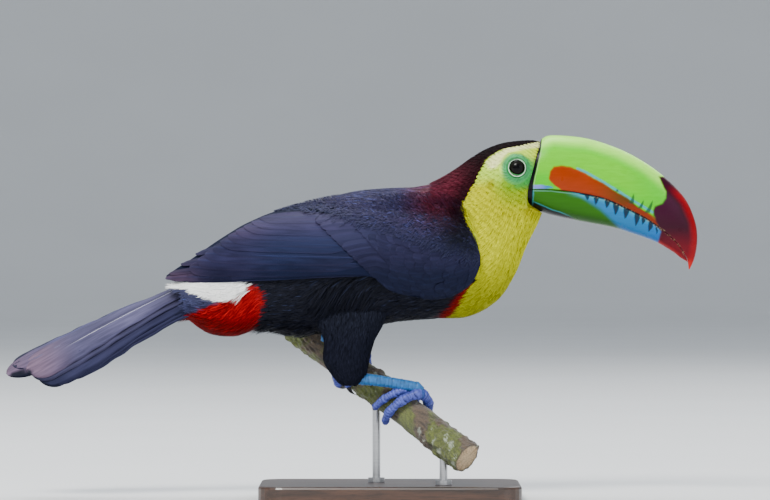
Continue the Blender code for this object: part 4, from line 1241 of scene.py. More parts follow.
def lay_vanes(root, tip, half, heights, tilt, rows, seed, roundness=1.6, straight=False):
    """Vanes on the wing's chart of place along it and share round it; heights are (quill, tip) in mm over it.
    Both wings have the same feathers, so the places stay on the chart."""
    place, faces = template(rows, len(VANE_ACROSS) - 1)
    random = np.random.default_rng(seed)
    t = 1 - (1 - place[:, 0] / rows) ** 1.5
    a = VANE_ACROSS[place[:, 1]]
    root, tip = np.asarray(root, float), np.asarray(tip, float)
    half = np.broadcast_to(np.asarray(half, float), len(root))[:, None]
    arc = wing_arc((root[:, 0] + tip[:, 0]) / 2)[2]
    step = np.stack((tip[:, 0] - root[:, 0], (tip[:, 1] - root[:, 1]) * arc), -1)
    long = np.linalg.norm(step, axis=-1)[:, None]
    step = step / long
    wide = vane_outline(t[None], half, long, roundness)
    x = root[:, :1] + (tip[:, :1] - root[:, :1]) * t
    share = root[:, 1:] + (tip[:, 1:] - root[:, 1:]) * t
    if straight:  # in side view
        ends = [wing_point(end[:, 0], end[:, 1], 0.0, 1)[:, 2:] for end in (root, tip)]
        share = wing_share(x, ends[0] + (ends[1] - ends[0]) * t)
    x = x + a * wide * step[:, 1:]
    share = share - a * wide * step[:, :1] / np.maximum(wing_arc(x)[2], 6.0)
    shaft = 0.16 * np.exp(-((a / 0.07) ** 2)) * (1 - 0.7 * t)
    jitter = random.normal(0, 0.06, len(root))[:, None]
    out = heights[0] + (heights[1] - heights[0]) * t**0.8 + tilt * a + shaft + jitter + 0.18 * (1 - a * a)
    beside = random.uniform(0, 60, len(root))[:, None]
    vane = np.stack((a * wide + beside, t * long - 0.9 * np.abs(a) * wide), -1)
    return {"x": x, "share": np.clip(share, -0.02, 1.02), "out": out, "t": np.broadcast_to(t, x.shape),
            "a": np.broadcast_to(a, x.shape), "faces": faces, "vane": vane}


def atlas(t, a, index, cells):
    """Places of feathers' own patches side by side on a bake map of cells by cells."""
    column, row = index % cells, index // cells
    u = (column[:, None] + 0.5 + 0.42 * a) / cells
    v = (row[:, None] + 0.06 + 0.88 * t) / cells
    return np.stack((u, v), -1)


def wing_rows():
    """Every group of one wing's feathers, from the wing's tip forwards."""
    def line(start, end, count, bend=0.0):
        """Feathers' ends side by side from one (x, z) to another."""
        s = np.linspace(0, 1, count)
        x = start[0] + (end[0] - start[0]) * s
        z = start[1] + (end[1] - start[1]) * s + bend * np.sin(s * math.pi)
        return np.stack((x, wing_share(x, z)), -1)

    def edges(rows):
        """Roots and tips of a table's feathers."""
        return [np.stack((rows[:, k], wing_share(rows[:, k], rows[:, k + 1])), -1) for k in (0, 2)]

    groups = {}
    roots, tips = line((-16, 147.2), (-20, 149.5), 5), line((-134, 146.0), (-104, 146.0), 5)
    groups["primaries"] = lay_vanes(roots, tips, 5.2, (-1.5, -0.55), 0.3, 34, 1, straight=True)
    roots, tips = line((-16, 150.5), (-38, 187), 10), line((-132, 152.5), (-86, 185.0), 10, 2.6)
    wide = np.linspace(5.2, 7.6, 10)
    groups["secondaries"] = lay_vanes(roots, tips, wide, (-1.5, 0.0), 0.4, 34, 2, 1.9, True)
    quills = np.array(REAR_TIPS)
    roots, tips = edges(quills)
    groups["rear_tips"] = lay_vanes(roots, tips, quills[:, 4], (-1.5, -0.35), 0.3, 24, 8, 1.6, True)
    roots, tips = line((17, 150.5), (-14, 186), 11), line((-14, 149.0), (-49, 182.5), 11)
    groups["greater_coverts"] = lay_vanes(roots, tips, 4.6, (-1.2, -0.02), 0.15, 16, 3)
    roots, tips = line((22, 141.5), (24, 138.5), 4), line((-9, 143.8), (-2, 140.0), 4)
    groups["primary_coverts"] = lay_vanes(roots, tips, 4.0, (-1.1, 0.1), 0.25, 14, 4)
    roots, tips = line((24, 152), (-10, 189.5), 12), line((3, 150.0), (-31, 187.5), 12)
    groups["median_coverts"] = lay_vanes(roots, tips, 4.2, (-1.1, 0.06), 0.12, 12, 5)
    random = np.random.default_rng(12)
    roots, tips = [], []
    for x in np.arange(-14.0, 55.0, 5.6):
        count = round(float(wing_arc(min(x, 52.0))[2]) / 6.0)
        for k in range(count):
            share = (k + 0.5 + random.uniform(-0.3, 0.3)) / count
            reach = x - 9.0 * (0.5 - share) * ease(50, 20, x) + random.normal(0, 1.2)
            if reach > 53 or (x < -6 and share > 0.62):
                continue
            roots.append((min(reach + 11.5, 58.7), np.clip(share - random.uniform(0.0, 0.05), 0.02, 0.98)))
            tips.append((reach, share))
    wide = random.uniform(3.6, 4.5, len(roots))
    groups["lesser_coverts"] = lay_vanes(roots, tips, wide, (-0.9, 0.2), 0.1, 9, 6, 1.3)
    edge = np.linspace(0.04, 0.97, 13)
    roots, tips = np.stack((58.6 + 0 * edge, edge), -1), np.stack((50.5 + 1.2 * np.cos(9 * edge), edge), -1)
    groups["marginal_coverts"] = lay_vanes(roots, tips, 3.6, (-0.9, 0.45), 0.1, 8, 7, 1.2)
    return groups


class TOUCAN_OT_wings(bpy.types.Operator):
    """Both folded wings: a thin core under rows of coverts, secondaries and primaries"""

    bl_idname = "toucan.wings"
    bl_label = "Wings"

    def execute(self, context):
        quills = tints(context.scene.toucan_quills)
        groups = wing_rows()
        total = sum(len(group["x"]) for group in groups.values())
        cells = math.ceil(math.sqrt(total))
        for side, name in ((1, "wing_left"), (-1, "wing_right")):
            meshes, first = [self.core(side, quills)], 0
            for label, group in groups.items():
                places = wing_point(group["x"], group["share"], group["out"], side)
                surface_colour = self.surface_colour(label, group, places, quills)
                bake = atlas(group["t"], group["a"], first + np.arange(len(places)), cells)
                first += len(places)
                faces = group["faces"][:, ::-1] if side > 0 else group["faces"]
                meshes.append(joined(label, places, faces, surface_colour, bake, group["vane"]))
            piece(f"{name}_feathers", join(meshes, name), flight_feather(), [name])
        return {"FINISHED"}

    def core(self, side, quills):
        """The closed shell under the vanes, which shows only inside the wing and between feathers."""
        rings = []
        for at in np.linspace(0, WING_END, 90):
            x = float(rows_at(WING, at)[0])
            share = np.linspace(0.14 * float(ease(-84, -128, x)), 1, 40)
            outer = wing_point(np.full(40, x), share, -1.5 * np.sin(math.pi * share) ** 0.4 - 0.1, side)
            lateral = wing_row(x)[2]
            thick = 1.1 + (4.3 * min(1.0, lateral / 20.0) - 1.1) * np.sin(math.pi * share) ** 0.6
            inner = wing_point(np.full(40, x), share, -thick, side)
            rings.append(np.concatenate((outer, inner[::-1])))
        mesh = loft("core", np.array(rings))
        # Darker than the vanes: painted shade where the core shows between the feathers.
        paint(mesh, quills["blue"] * 0.55)
        for label in ("OFBake", "Vane"):
            mesh.uv_layers.new(name=label)
        return mesh

    def surface_colour(self, label, group, places, quills):
        """Blue black vanes, browner at the rear end; lighter and browner along the back from painted light
        above, darker low down from painted shade.
        """
        t, a = group["t"], group["a"]
        blue, brown = quills["blue"], quills["rim"]
        random = np.random.default_rng(len(label))
        long = label in ("primaries", "secondaries", "rear_tips")
        x, z = places[..., 0], places[..., 2]
        # Painted light from above: lighter and browner along the wing's back.
        back = (4.2, 2.4, 2.0) if long else (1.8, 1.55, 1.55)
        surface_colour = blue * blend(np.ones(3), back, ease(166, 188, z) * ease(-10, -40, x))
        surface_colour = surface_colour * blend(np.ones(3), (2.0, 1.35, 1.25), ease(-70, -105, x) * ease(188, 172, z))
        # Painted shade: darker low down; on the coverts also a painted light high up.
        if long:
            surface_colour = surface_colour * blend(np.ones(3), (0.92, 0.76, 0.66), ease(-75, -35, x) * ease(168, 156, z))
            surface_colour = surface_colour * blend(1.0, 0.55, ease(160, 149, z) * ease(-30, -60, x))[..., None]
        else:
            surface_colour = surface_colour * blend(np.array((1.7, 1.15, 0.95)), (0.62, 0.55, 0.45), ease(162, 144, z))
        rim = ease(0.75, 1.0, np.abs(a)) * (0.22 if long else 0.08) + ease(0.9, 1.0, t) * 0.08
        surface_colour = blend(surface_colour, brown, rim)
        if long:  # browner from wear towards the rear end
            surface_colour = blend(surface_colour, brown * 1.5, ease(-112, -146, x) * 0.75)
            surface_colour = blend(surface_colour, brown * (2.2, 1.9, 1.7), ease(-122, -142, x) * ease(153, 147, z))
        surface_colour = blend(surface_colour, blue * 2.4, np.exp(-((a / 0.05) ** 2)) * (0.3 if long else 0.1))
        surface_colour = surface_colour * np.exp(random.normal(0, 0.1, len(t)))[:, None, None]
        return np.clip(surface_colour, 0, 1)


class TOUCAN_OT_tail(bpy.types.Operator):
    """Ten graduated tail feathers, the middle pair uppermost, on a rolled, arched fan"""

    bl_idname = "toucan.tail"
    bl_label = "Tail"

    def execute(self, context):
        quills = tints(context.scene.toucan_quills)
        along = np.array((-math.cos(TAIL_SLOPE), 0, -math.sin(TAIL_SLOPE)))
        up = np.array((-math.sin(TAIL_SLOPE), 0, math.cos(TAIL_SLOPE)))
        across = np.array((0, math.cos(TAIL_ROLL), 0)) + up * math.sin(TAIL_ROLL)
        out = unit(np.cross(across, along))
        rows = 46
        place, faces = template(rows, len(VANE_ACROSS) - 1)
        t = 1 - (1 - place[:, 0] / rows) ** 1.35
        a = VANE_ACROSS[place[:, 1]]
        random = np.random.default_rng(3)
        places, surface_colours, vanes = [], [], []
        for number, (start, end, stack, long, broad) in enumerate(TAIL_FEATHERS):
            run = t * (long + 18.5) - 18.0
            far = np.clip(run, 0, None) / TAIL_LENGTH
            fan = 18.0 + 9.2 * ease(0, 80, run)
            wide = vane_outline(t, fan * broad, long, 1.7 if number == 1 else 1.0)
            spot = (start + (end - start) * t) * fan + a * wide
            share = np.clip(spot / fan, -1.05, 1.05)
            arch = 6.0 + 2.6 * ease(35, 75, run)
            thick = 4.0 + (1.7 - 4.0) * far
            layer = (stack - 0.5) * thick * (1 - 0.3 * share**2)
            tilt = -0.45 * a * ease(0, 0.3, t)
            free = ease(0.5, 1.0, -a if number % 2 == 0 else a)
            crinkle = np.sin(t * 33 + number * 2.1 + 1.5 * np.sin(9 * t)) * free
            rumple = 0.4 * crinkle * ease(0.15, 0.3, t) * ease(0.9, 0.7, t) + 0.1 * np.sin(t * 60) * np.abs(a)
            shaft = 0.3 * np.exp(-((a / 0.07) ** 2)) * (1 - 0.75 * t)
            height = layer - arch * share**2 + tilt + rumple + shaft
            spots = TAIL_ROOT + along * run[:, None] + across * spot[:, None] + out * height[:, None]
            places.append(spots)
            surface_colours.append(self.surface_colour(number, stack, t, a, spots, quills) * (1 + random.normal(0, 0.07)))
            vanes.append(np.stack((a * wide + 11 * number, t * long - 0.9 * np.abs(a) * wide), -1))
        places = np.array(places)
        t, a = (np.broadcast_to(v, places.shape[:2]) for v in (t, a))
        bake = atlas(t, a, np.arange(len(places)), 4)
        mesh = joined("tail", places, faces[:, ::-1], np.array(surface_colours), bake, np.array(vanes))
        obj = piece("tail_feathers", mesh, flight_feather(), ["tail"])
        solid = obj.modifiers.new("Vane thickness", "SOLIDIFY")
        solid.thickness, solid.offset = 0.35 * MM, 0.0
        return {"FINISHED"}

    def surface_colour(self, number, stack, t, a, spots, quills):
        """Slate violet above, blue black low in the stack, brownish ends from wear and pale shafts; painted
        shade on low and curled tips, a painted highlight on the top feather.
        """
        blue, tip, shaft = quills["blue"], quills["tail_tip"], quills["shaft"]
        x, z = spots[:, 0], spots[:, 2]
        upper = stack > 0.8
        surface_colour = quills["tail"] * blend(0.74, 0.98, ease(0.1, 0.6, t))[:, None]
        # Painted highlight across the top feather, near the middle of its length.
        if number == 0:
            surface_colour = surface_colour * (1 + 0.55 * np.exp(-(((t - 0.38) / 0.13) ** 2)))[:, None]
        if number == 1:
            surface_colour = surface_colour * (1.7, 1.75, 2.0)
        surface_colour = blend(surface_colour, tip, ease(0.70, 0.97, t) * (0.8 if upper else 0.0))
        surface_colour = blend(surface_colour, blue * (1.25, 1.0, 1.0), ease(0.82, 0.6, stack) * 0.7)
        # Painted shade on the tips of the lower feathers.
        surface_colour = surface_colour * blend(1.0, 0.45, ease(0.8, 0.95, t) * ease(0.8, 0.7, stack))[:, None]
        surface_colour = blend(surface_colour, blue * 0.5, ease(0.55, 1.0, -a) * 0.3)
        surface_colour = blend(surface_colour, tip * 1.5, ease(0.975, 1.0, t) * (0.35 if upper else 0.0))
        if number == 0:
            surface_colour = blend(surface_colour, shaft, (np.abs(a) < 0.01) * ease(0.8, 0.6, t))
            surface_colour = surface_colour * (1 - 0.45 * np.exp(-(((a - 0.2) / 0.1) ** 2)) * ease(0.8, 0.5, t))[:, None]
            # A short pale streak on the top feather.
            pale_streak = to_line(x, z, ((-217.8, 95.8), (-221.6, 89.0)))
            surface_colour = blend(surface_colour, shaft, ease(0.35, 0.1, pale_streak) * 0.7)
        else:
            surface_colour = blend(surface_colour, shaft, np.exp(-((a / 0.035) ** 2)) * 0.1 * ease(0.9, 0.7, t))
        # Painted shade of the curled tips: the first lies on the middle pair only, the second on all but the
        # second feather.
        curled = np.minimum(to_patch(x, z, TIP_SHADES[0]) + (9 if number > 1 else 0),
                            to_patch(x, z, TIP_SHADES[1]) + (9 if number == 1 else 0))
        return blend(surface_colour, linear("#07070a"), ease(0.4, -0.4, curled))


# ---- Bill ----


def bill_rings(stations, around, upper):
    """Rings of one mandible, from its left cutting edge over to its right one."""
    rows = rows_at(BILL, stations)[:, None]
    gape = np.stack((rows[..., 2], 0 * rows[..., 2], rows[..., 3]), -1)
    far = rows[..., (0, 1)] if upper else rows[..., (4, 5)]
    far = np.stack((far[..., 0], 0 * far[..., 0], far[..., 1]), -1)
    depth = np.linalg.norm(far - gape, axis=-1)
    roll = BILL_UNDERCUT if upper else 0.0
    angle = np.linspace(-roll, math.pi + roll, around)
    rise = (np.sin(angle) + math.sin(roll)) / (1 + math.sin(roll))
    side = signed_power(np.cos(angle), BILL_SQUARENESS) * rows[..., 6] * (1.0 if upper else LOWER_NARROWER)
    if not upper:  # it closes to a rounded point under the hook
        closing = np.sqrt(1 - ease(8.0, LOWER_END + 0.02, stations) ** 1.5)[:, None]
        rise, side = rise * closing, side * np.maximum(closing, 0.15)
    point = gape + unit(far - gape) * (rise * depth + 0.15)[..., None]
    point[..., 1] = side
    straight = KEEL_START + (point[..., 2] - BILL[0][5]) * BASE_SLANT
    point[..., 0] += (table_at(BASE_EDGE, point[..., 2]) - straight) * np.clip(1 - stations, 0, 1)[:, None]
    return point


def upper_zones(x, z, from_gape, from_ridge, soft, tint):
    """Green, blotch, lines and marks of the upper mandible."""
    green, rust = tint["green"], tint["rust"]
    # Lighter along the ridge: its own light green and a painted highlight from above.
    surface_colour = blend(green, tint["pale"], ease(10, 0.5, from_ridge) * 0.8)
    sunny = ease(6, 11, from_ridge) * ease(8, 14, from_gape) * ease(178, 150, x)
    surface_colour = blend(surface_colour, green * (2.0, 1.12, 1.0) + (0.03, 0.0, 0.0), sunny * 0.6)
    surface_colour = blend(surface_colour, green * 0.85, ease(9, 3, from_gape) * 0.5)
    surface_colour = blend(surface_colour, tint["sky"], ease(1.1, 0.4, to_line(x, z, BLUE_LINE)) * 0.85)
    heat = blend(tint["orange"], linear("#443300"), ease(128, 160, x) * 0.9)
    surface_colour = blend(surface_colour, heat, ease(0.6, -0.6, to_patch(x, z, ORANGE) + soft))
    stripe = ease(4.4, 3.6, from_gape) * ease(150, 160, x) * 0.9
    surface_colour = blend(surface_colour, rust, np.maximum(stripe, ease(2.4, 1.2, from_gape) * ease(110, 150, x) * 0.7))
    surface_colour = blend(surface_colour, rust * 0.35, ease(0.9, 0.3, from_gape) * ease(104, 112, x) * 0.8)
    strip = blend(tint["lilac"], tint["azure"], ease(97, 105, x))
    wide = np.interp(x, (94, 100, 107), (1.35, 1.2, 0.4))
    surface_colour = blend(surface_colour, strip, ease(0.25, -0.25, to_line(x, z, LILAC_STRIP) - wide))
    surface_colour = blend(surface_colour, rust * 0.2, ease(0.8, 0.3, from_gape) * ease(94, 98, x) * 0.8)
    for foot_x, foot_z, top_x, top_z, width in MARKS_ABOVE:
        up = np.clip((z - foot_z) / (top_z - foot_z), 0, 1)
        beside = np.abs(x - (foot_x + (top_x - foot_x) * up**0.8)) - 1.3 * width * (1 - up) ** 0.8
        mark = np.maximum(beside, np.maximum(z - top_z, foot_z - z))
        surface_colour = blend(surface_colour, linear("#193c27"), ease(0.35, -0.25, mark) * 0.85)
    return surface_colour


def lower_zones(x, z, from_gape, from_keel, tint):
    """Green, azure, marks and chin line of the lower mandible."""
    deep, azure = tint["deep"], tint["azure"]
    front = ease(-5, 6, x - 121.0 - 2.3 * from_gape)
    surface_colour = blend(deep, deep * 0.6, ease(7, 1.5, from_keel))
    surface_colour = blend(surface_colour, azure, front * 0.9)
    surface_colour = blend(surface_colour, tint["sky"], ease(4.0, 0.8, from_gape) * ease(114, 128, x) * 0.6)
    surface_colour = blend(surface_colour, linear("#6fbcaa"), ease(1.3, 0.8, from_gape) * ease(0.5, 0.8, from_gape) * 0.6)
    surface_colour = blend(surface_colour, azure * (0.5, 0.62, 0.75), ease(4.5, 0.8, from_keel) * front * 0.75)
    surface_colour = blend(surface_colour, azure * (0.6, 0.7, 1.0), ease(164, 176, x) * front * 0.6)
    for top_x, top_z, point_x, point_z, width in MARKS_BELOW:
        down = np.clip((top_z - z) / (top_z - point_z), 0, 1)
        leaf = width * 1.35 * (0.72 + 0.5 * np.minimum(down / 0.35, 1)) * (1 - down) ** 0.75
        beside = np.abs(x - (top_x + (point_x - top_x) * down) - 0.5 * np.sin(3 * down)) - leaf
        mark = np.maximum(beside, np.maximum(z - top_z - 1.2, point_z - z))
        surface_colour = blend(surface_colour, tint["mark"], ease(0.3, -0.25, mark) * 0.92)
    surface_colour = blend(surface_colour, tint["mark"], ease(1.0, 0.4, from_gape) * ease(118, 128, x) * 0.85)
    chin = np.interp(x, (92, 100, 112, 122), (3.6, 3.2, 2.4, 0.6))
    # Painted highlight: a thin pale line beside the chin band.
    fine = ease(0.5, 0.2, np.abs(from_keel - chin - 0.4)) * ease(122, 112, x) * ease(92, 97, x)
    surface_colour = blend(surface_colour, tint["sky"], fine * 0.55)
    return blend(surface_colour, tint["band"], ease(0.35, -0.35, from_keel - chin) * ease(123, 119, x))


def tip_shade(z, edge, rim, tint):
    """Dark red of the tip, brighter along its rim and towards its point, with a painted violet reflection
    inside the rim.
    """
    maroon, red = tint["maroon"], tint["red"]
    shade = blend(maroon, red, rim * ease(208, 198, z))
    # Painted reflection: a violet gloss of the sky inside the rim.
    inner = ease(14, 8, edge) * ease(5, 8, edge) * ease(175, 196, z)
    shade = blend(shade, maroon * (1.7, 2.4, 3.0), inner * 0.5)
    shade = blend(shade, red, ease(180, 163, z) * 0.4)
    return blend(shade, tint["ember"], ease(160, 152, z) * 0.85)


def bill_colour(points, upper, tint):
    """Colour zones of the bill at places in mm."""
    x, z = points[:, 0], points[:, 2]
    ridge_x, ridge_z, gape_x, gape_z, keel_x, keel_z, _ = np.array(BILL).T
    from_gape = to_line(x, z, [*zip(gape_x[:9], gape_z[:9]), (196.5, 157.0)])
    from_ridge = to_line(x, z, list(zip(ridge_x, ridge_z)))
    from_keel = to_line(x, z, list(zip(keel_x, keel_z)))
    soft = 0.35 * ripple(points, 5.0, 2.0)
    if upper:
        surface_colour = upper_zones(x, z, from_gape, from_ridge, soft, tint)
        edge = np.minimum(from_ridge, np.where(z < 163, from_keel, 9.0))
        rim = ease(6.2, 1.0, edge)
    else:
        surface_colour = lower_zones(x, z, from_gape, from_keel, tint)
        edge = np.minimum(from_ridge, from_keel)
        rim = ease(2.6, 0.6, from_keel)
    surface_colour = blend(surface_colour, tip_shade(z, edge, rim, tint), ease(0.8, -0.8, to_patch(x, z, TIP) + soft))
    flecks = ease(0.2, 0.7, ripple(points, 1.3, 7.0)) * ease(0.9, 0.4, from_gape) * ease(126, 140, x)
    surface_colour = blend(surface_colour, linear("#ad956f"), flecks * 0.5)
    ahead = x - table_at(BASE_EDGE, z)
    width = table_at(BASE_BAND, z)
    # Painted highlight: a thin pale line along the front edge of the base band.
    fine = ease(0.5, 0.2, np.abs(ahead - width - 0.3)) * ease(236, 228, z) * ease(190, 198, z)
    surface_colour = blend(surface_colour, blend(linear("#a0ce7c"), tint["sky"], ease(207, 202, z)), fine * 0.6)
    return np.clip(blend(surface_colour, tint["band"], ease(width + 0.3, width - 0.3, ahead)), 0, 1)


class TOUCAN_OT_bill(bpy.types.Operator):
    """Both mandibles, finely lofted, with their zones of colour"""

    bl_idname = "toucan.bill"
    bl_label = "Bill"

    def execute(self, context):
        tint = tints(context.scene.toucan_bill)
        for name, last, around in (("bill_upper", BILL_END, 150), ("bill_lower", LOWER_END, 110)):
            upper = name == "bill_upper"
            mesh = loft(name, bill_rings(np.linspace(0, last, 300), around, upper))
            paint(mesh, bill_colour(points_of(mesh), upper, tint))
            piece(f"{name}_horn", mesh, bill_horn(), [name])
        return {"FINISHED"}


# ---- Claws, perch and stand ----


class TOUCAN_OT_claws(bpy.types.Operator):
    """Eight curved claws that carry on from the toes and hold the bark"""

    bl_idname = "toucan.claws"
    bl_label = "Claws"

    def execute(self, context):
        dark = tints(context.scene.toucan_legs)["claw"]
        # Claw horn: smooth, polished by wear, so a thin highlight runs along each.
        material, tree, shader = new_material("claw_horn", IOR=1.55, Coat_Weight=0.25, Coat_Roughness=0.2)
        place = add_node(tree, "TexCoord").outputs["Object"]
        grain = add_node(tree, "TexNoise", {"Vector": place, "Scale": 900.0, "Detail": 2.0})
        vary_painted_colour(tree, shader, grain, 0.7, 1.3, (0, 1))
        gloss = add_node(tree, "MapRange", {"Value": grain.outputs[0], "To Min": 0.25, "To Max": 0.45})
        tree.links.new(gloss.outputs[0], shader.inputs["Roughness"])
        for side, (along, mirror) in FEET.items():
            for number, (end, root_drift, end_drift, _, radius) in enumerate(TOES, start=1):
                toe_distance = toe_axis(radius)
                start = math.degrees(0.45 / toe_distance) / CLAW_SWEEP
                share = np.linspace(start, 1 + start, 36)
                distance = toe_distance + (12.0 - toe_distance) * share**1.6
                drift = end_drift + (end_drift - root_drift) / (abs(end) - TOE_START) * CLAW_SWEEP * share
                angle = end + math.copysign(1, end) * CLAW_SWEEP * share
                path = on_branch(along + drift * mirror, angle, distance)
                size = radius * 0.86 * np.maximum(1 - share**1.5, 0) * ease(-0.06, 0.04, share - start)
                size = np.maximum(size, 0.22)
                mesh = loft("claw", tube(path, np.stack((size, size * 0.8), 1), 18))
                base = np.linalg.norm(points_of(mesh) - path[0], axis=1)
                paint(mesh, blend(dark * 2.2, dark, ease(0.5, 4.5, base)))
                node = f"claw_{side}_{number}"
                piece(f"{node}_horn", mesh, material, [node])
        return {"FINISHED"}


class TOUCAN_OT_perch(bpy.types.Operator):
    """A short, cut length of branch: furrowed, mossy bark and pale sawn ends"""

    bl_idname = "toucan.perch"
    bl_label = "Perch"

    def execute(self, context):
        stand = tints(context.scene.toucan_stand)
        bark, moss = stand["bark"], stand["moss"]
        rear, front = BRANCH_ENDS
        where = np.concatenate((np.full(9, rear), np.linspace(rear, front, 210), np.full(9, front)))
        inner = np.linspace(0.03, 0.93, 9)
        radial = np.concatenate((inner, np.ones(210), inner[::-1]))
        angle = np.linspace(0, 360, 151)[:-1]
        flat = on_branch(where[:, None], angle, BRANCH_RADIUS)
        bumps = np.array([[noise.noise(Vector(point) * 0.09) for point in ring] for ring in flat])
        stretched = flat - (flat @ BRANCH_WAY)[..., None] * BRANCH_WAY * 0.72
        furrow = ripple(stretched, 2.6, 3.0)
        crust = 0.28 * np.clip(furrow, -1, 0.6) + 0.12 * ripple(flat, 1.1, 6.0)
        between = ease(-18, -26, where) * ease(-46, -38, where)
        clear_of_feet = ease(18, 26, where) + between + ease(-76, -86, where)
        lumps = np.clip(ripple(flat, 4.5, 9.0) + 0.3, 0, 1.2) * 1.3 + 0.3 * ripple(flat, 1.6, 4.0)
        crust = crust + clear_of_feet[:, None] * lumps
        distance = (BRANCH_RADIUS - 0.85 + 0.7 * bumps + crust) * radial[:, None]
        mesh = loft("perch", on_branch(where[:, None], angle, distance))
        points = points_of(mesh)
        local = points - BRANCH_POINT
        travelled = local @ BRANCH_WAY
        away = np.linalg.norm(local - travelled[:, None] * BRANCH_WAY, axis=1)
        squeezed = points - (points @ BRANCH_WAY)[:, None] * BRANCH_WAY * 0.72
        surface_colour = blend(bark * 0.35, bark * 1.15, ease(-0.7, 0.5, ripple(squeezed, 2.6, 3.0)))
        green = ease(-0.1, 0.6, ripple(points, 13.0, 8.0) + 0.25 + 0.35 * ripple(points, 3.0, 1.0)) * 0.85
        surface_colour = blend(surface_colour, moss * (1 + 0.4 * ripple(points, 1.4, 2.0))[:, None], green)
        lichen = ease(0.75, 1.0, ripple(points, 7.0, 5.0) + 0.3 * ripple(points, 1.5, 3.0))
        surface_colour = blend(surface_colour, linear("#a2aa99"), lichen * 0.7)
        sawn = (np.abs(travelled - (rear + front) / 2) > (front - rear) / 2 - 0.2) & (away < 10.0)
        ring = 0.5 + 0.5 * np.sin(away * 5.2 + 0.6 * ripple(points, 5.0, 2.0))
        wood = blend(linear("#ad8e65"), linear("#cbaf86"), ring)
        wood = blend(wood, bark * 0.6, ease(9.0, 9.8, away))
        paint(mesh, np.clip(blend(surface_colour, wood, sawn.astype(float)), 0, 1))
        # Bark: dry cork, quite matt, with fine grit and a fuzz of moss.
        material, tree, shader = new_material(
            "mossy_bark", Roughness=0.9, Sheen_Weight=0.2, Sheen_Roughness=0.7,
        )
        place = add_node(tree, "TexCoord").outputs["Object"]
        grit = add_node(tree, "TexNoise", {"Vector": place, "Scale": 1100.0, "Detail": 4.0})
        vary_painted_colour(tree, shader, grit, 0.6, 1.4)
        bump = add_node(tree, "Bump", {"Height": grit.outputs[0], "Strength": 0.7, "Distance": 0.0005})
        tree.links.new(bump.outputs[0], shader.inputs["Normal"])
        piece("perch_bark", mesh, material, ["perch_branch"])
        return {"FINISHED"}


class TOUCAN_OT_display_stand(bpy.types.Operator):
    """Finishes of the plain stand: lacquered wood, brushed steel rods and collars"""

    bl_idname = "toucan.display_stand"
    bl_label = "Display stand"

    def execute(self, context):
        wood = tints(context.scene.toucan_stand)["wood"]
        # Walnut, planed and lacquered: long open grain under a clear satin film.
        walnut, tree, shader = new_material("lacquered_walnut", IOR=1.5, Coat_Weight=0.5, Coat_Roughness=0.22)
        place = add_node(tree, "TexCoord").outputs["Object"]
        board = add_node(tree, "Mapping", {"Vector": place, "Scale": (14.0, 190.0, 190.0)})
        growth = add_node(tree, "TexNoise", {"Vector": board.outputs[0], "Scale": 1.0, "Detail": 4.0,
                                             "Distortion": 0.6})
        pores = add_node(tree, "Mapping", {"Vector": place, "Scale": (120.0, 2600.0, 2600.0)})
        pore = add_node(tree, "TexNoise", {"Vector": pores.outputs[0], "Scale": 1.0, "Detail": 2.0})
        ramp = add_node(tree, "MapRange", {"Value": growth.outputs[0], "From Min": 0.32, "From Max": 0.68})
        base = add_node(tree, "Mix", {0: ramp.outputs[0], 6: (*(wood * 0.45), 1), 7: (*(wood * 1.5), 1)},
                        data_type="RGBA")
        dots = add_node(tree, "MapRange", {"Value": pore.outputs[0], "From Min": 0.35, "From Max": 0.5,
                                           "To Min": 0.45})
        dark = add_node(tree, "VectorMath", {0: base.outputs[2], "Scale": dots.outputs[0]}, operation="SCALE")
        tree.links.new(dark.outputs[0], shader.inputs["Base Color"])
        gloss = add_node(tree, "MapRange", {"Value": growth.outputs[0], "To Min": 0.34, "To Max": 0.5})
        tree.links.new(gloss.outputs[0], shader.inputs["Roughness"])
        bump = add_node(tree, "Bump", {"Height": pore.outputs[0], "Strength": 0.15, "Distance": 0.0002})
        tree.links.new(bump.outputs[0], shader.inputs["Normal"])
        # Stainless steel, turned and brushed round: fine rings that spread each highlight.
        steel, tree, shader = new_material("brushed_stainless_steel", Metallic=1.0)
        place = add_node(tree, "TexCoord").outputs["Object"]
        turned = add_node(tree, "Mapping", {"Vector": place, "Scale": (60.0, 60.0, 3000.0)})
        lines = add_node(tree, "TexNoise", {"Vector": turned.outputs[0], "Scale": 1.0, "Detail": 2.0})
        shade = add_node(tree, "Mix", {0: lines.outputs[0], 6: opaque("#adadaf"), 7: opaque("#d4d4d6")},
                         data_type="RGBA")
        tree.links.new(shade.outputs[2], shader.inputs["Base Color"])
        gloss = add_node(tree, "MapRange", {"Value": lines.outputs[0], "To Min": 0.24, "To Max": 0.42})
        tree.links.new(gloss.outputs[0], shader.inputs["Roughness"])
        for name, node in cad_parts.items():
            if name.startswith("stand_"):
                for slot in node.material_slots:
                    slot.material = walnut if name == "stand_base" else steel
        return {"FINISHED"}


# ---- Stage ----


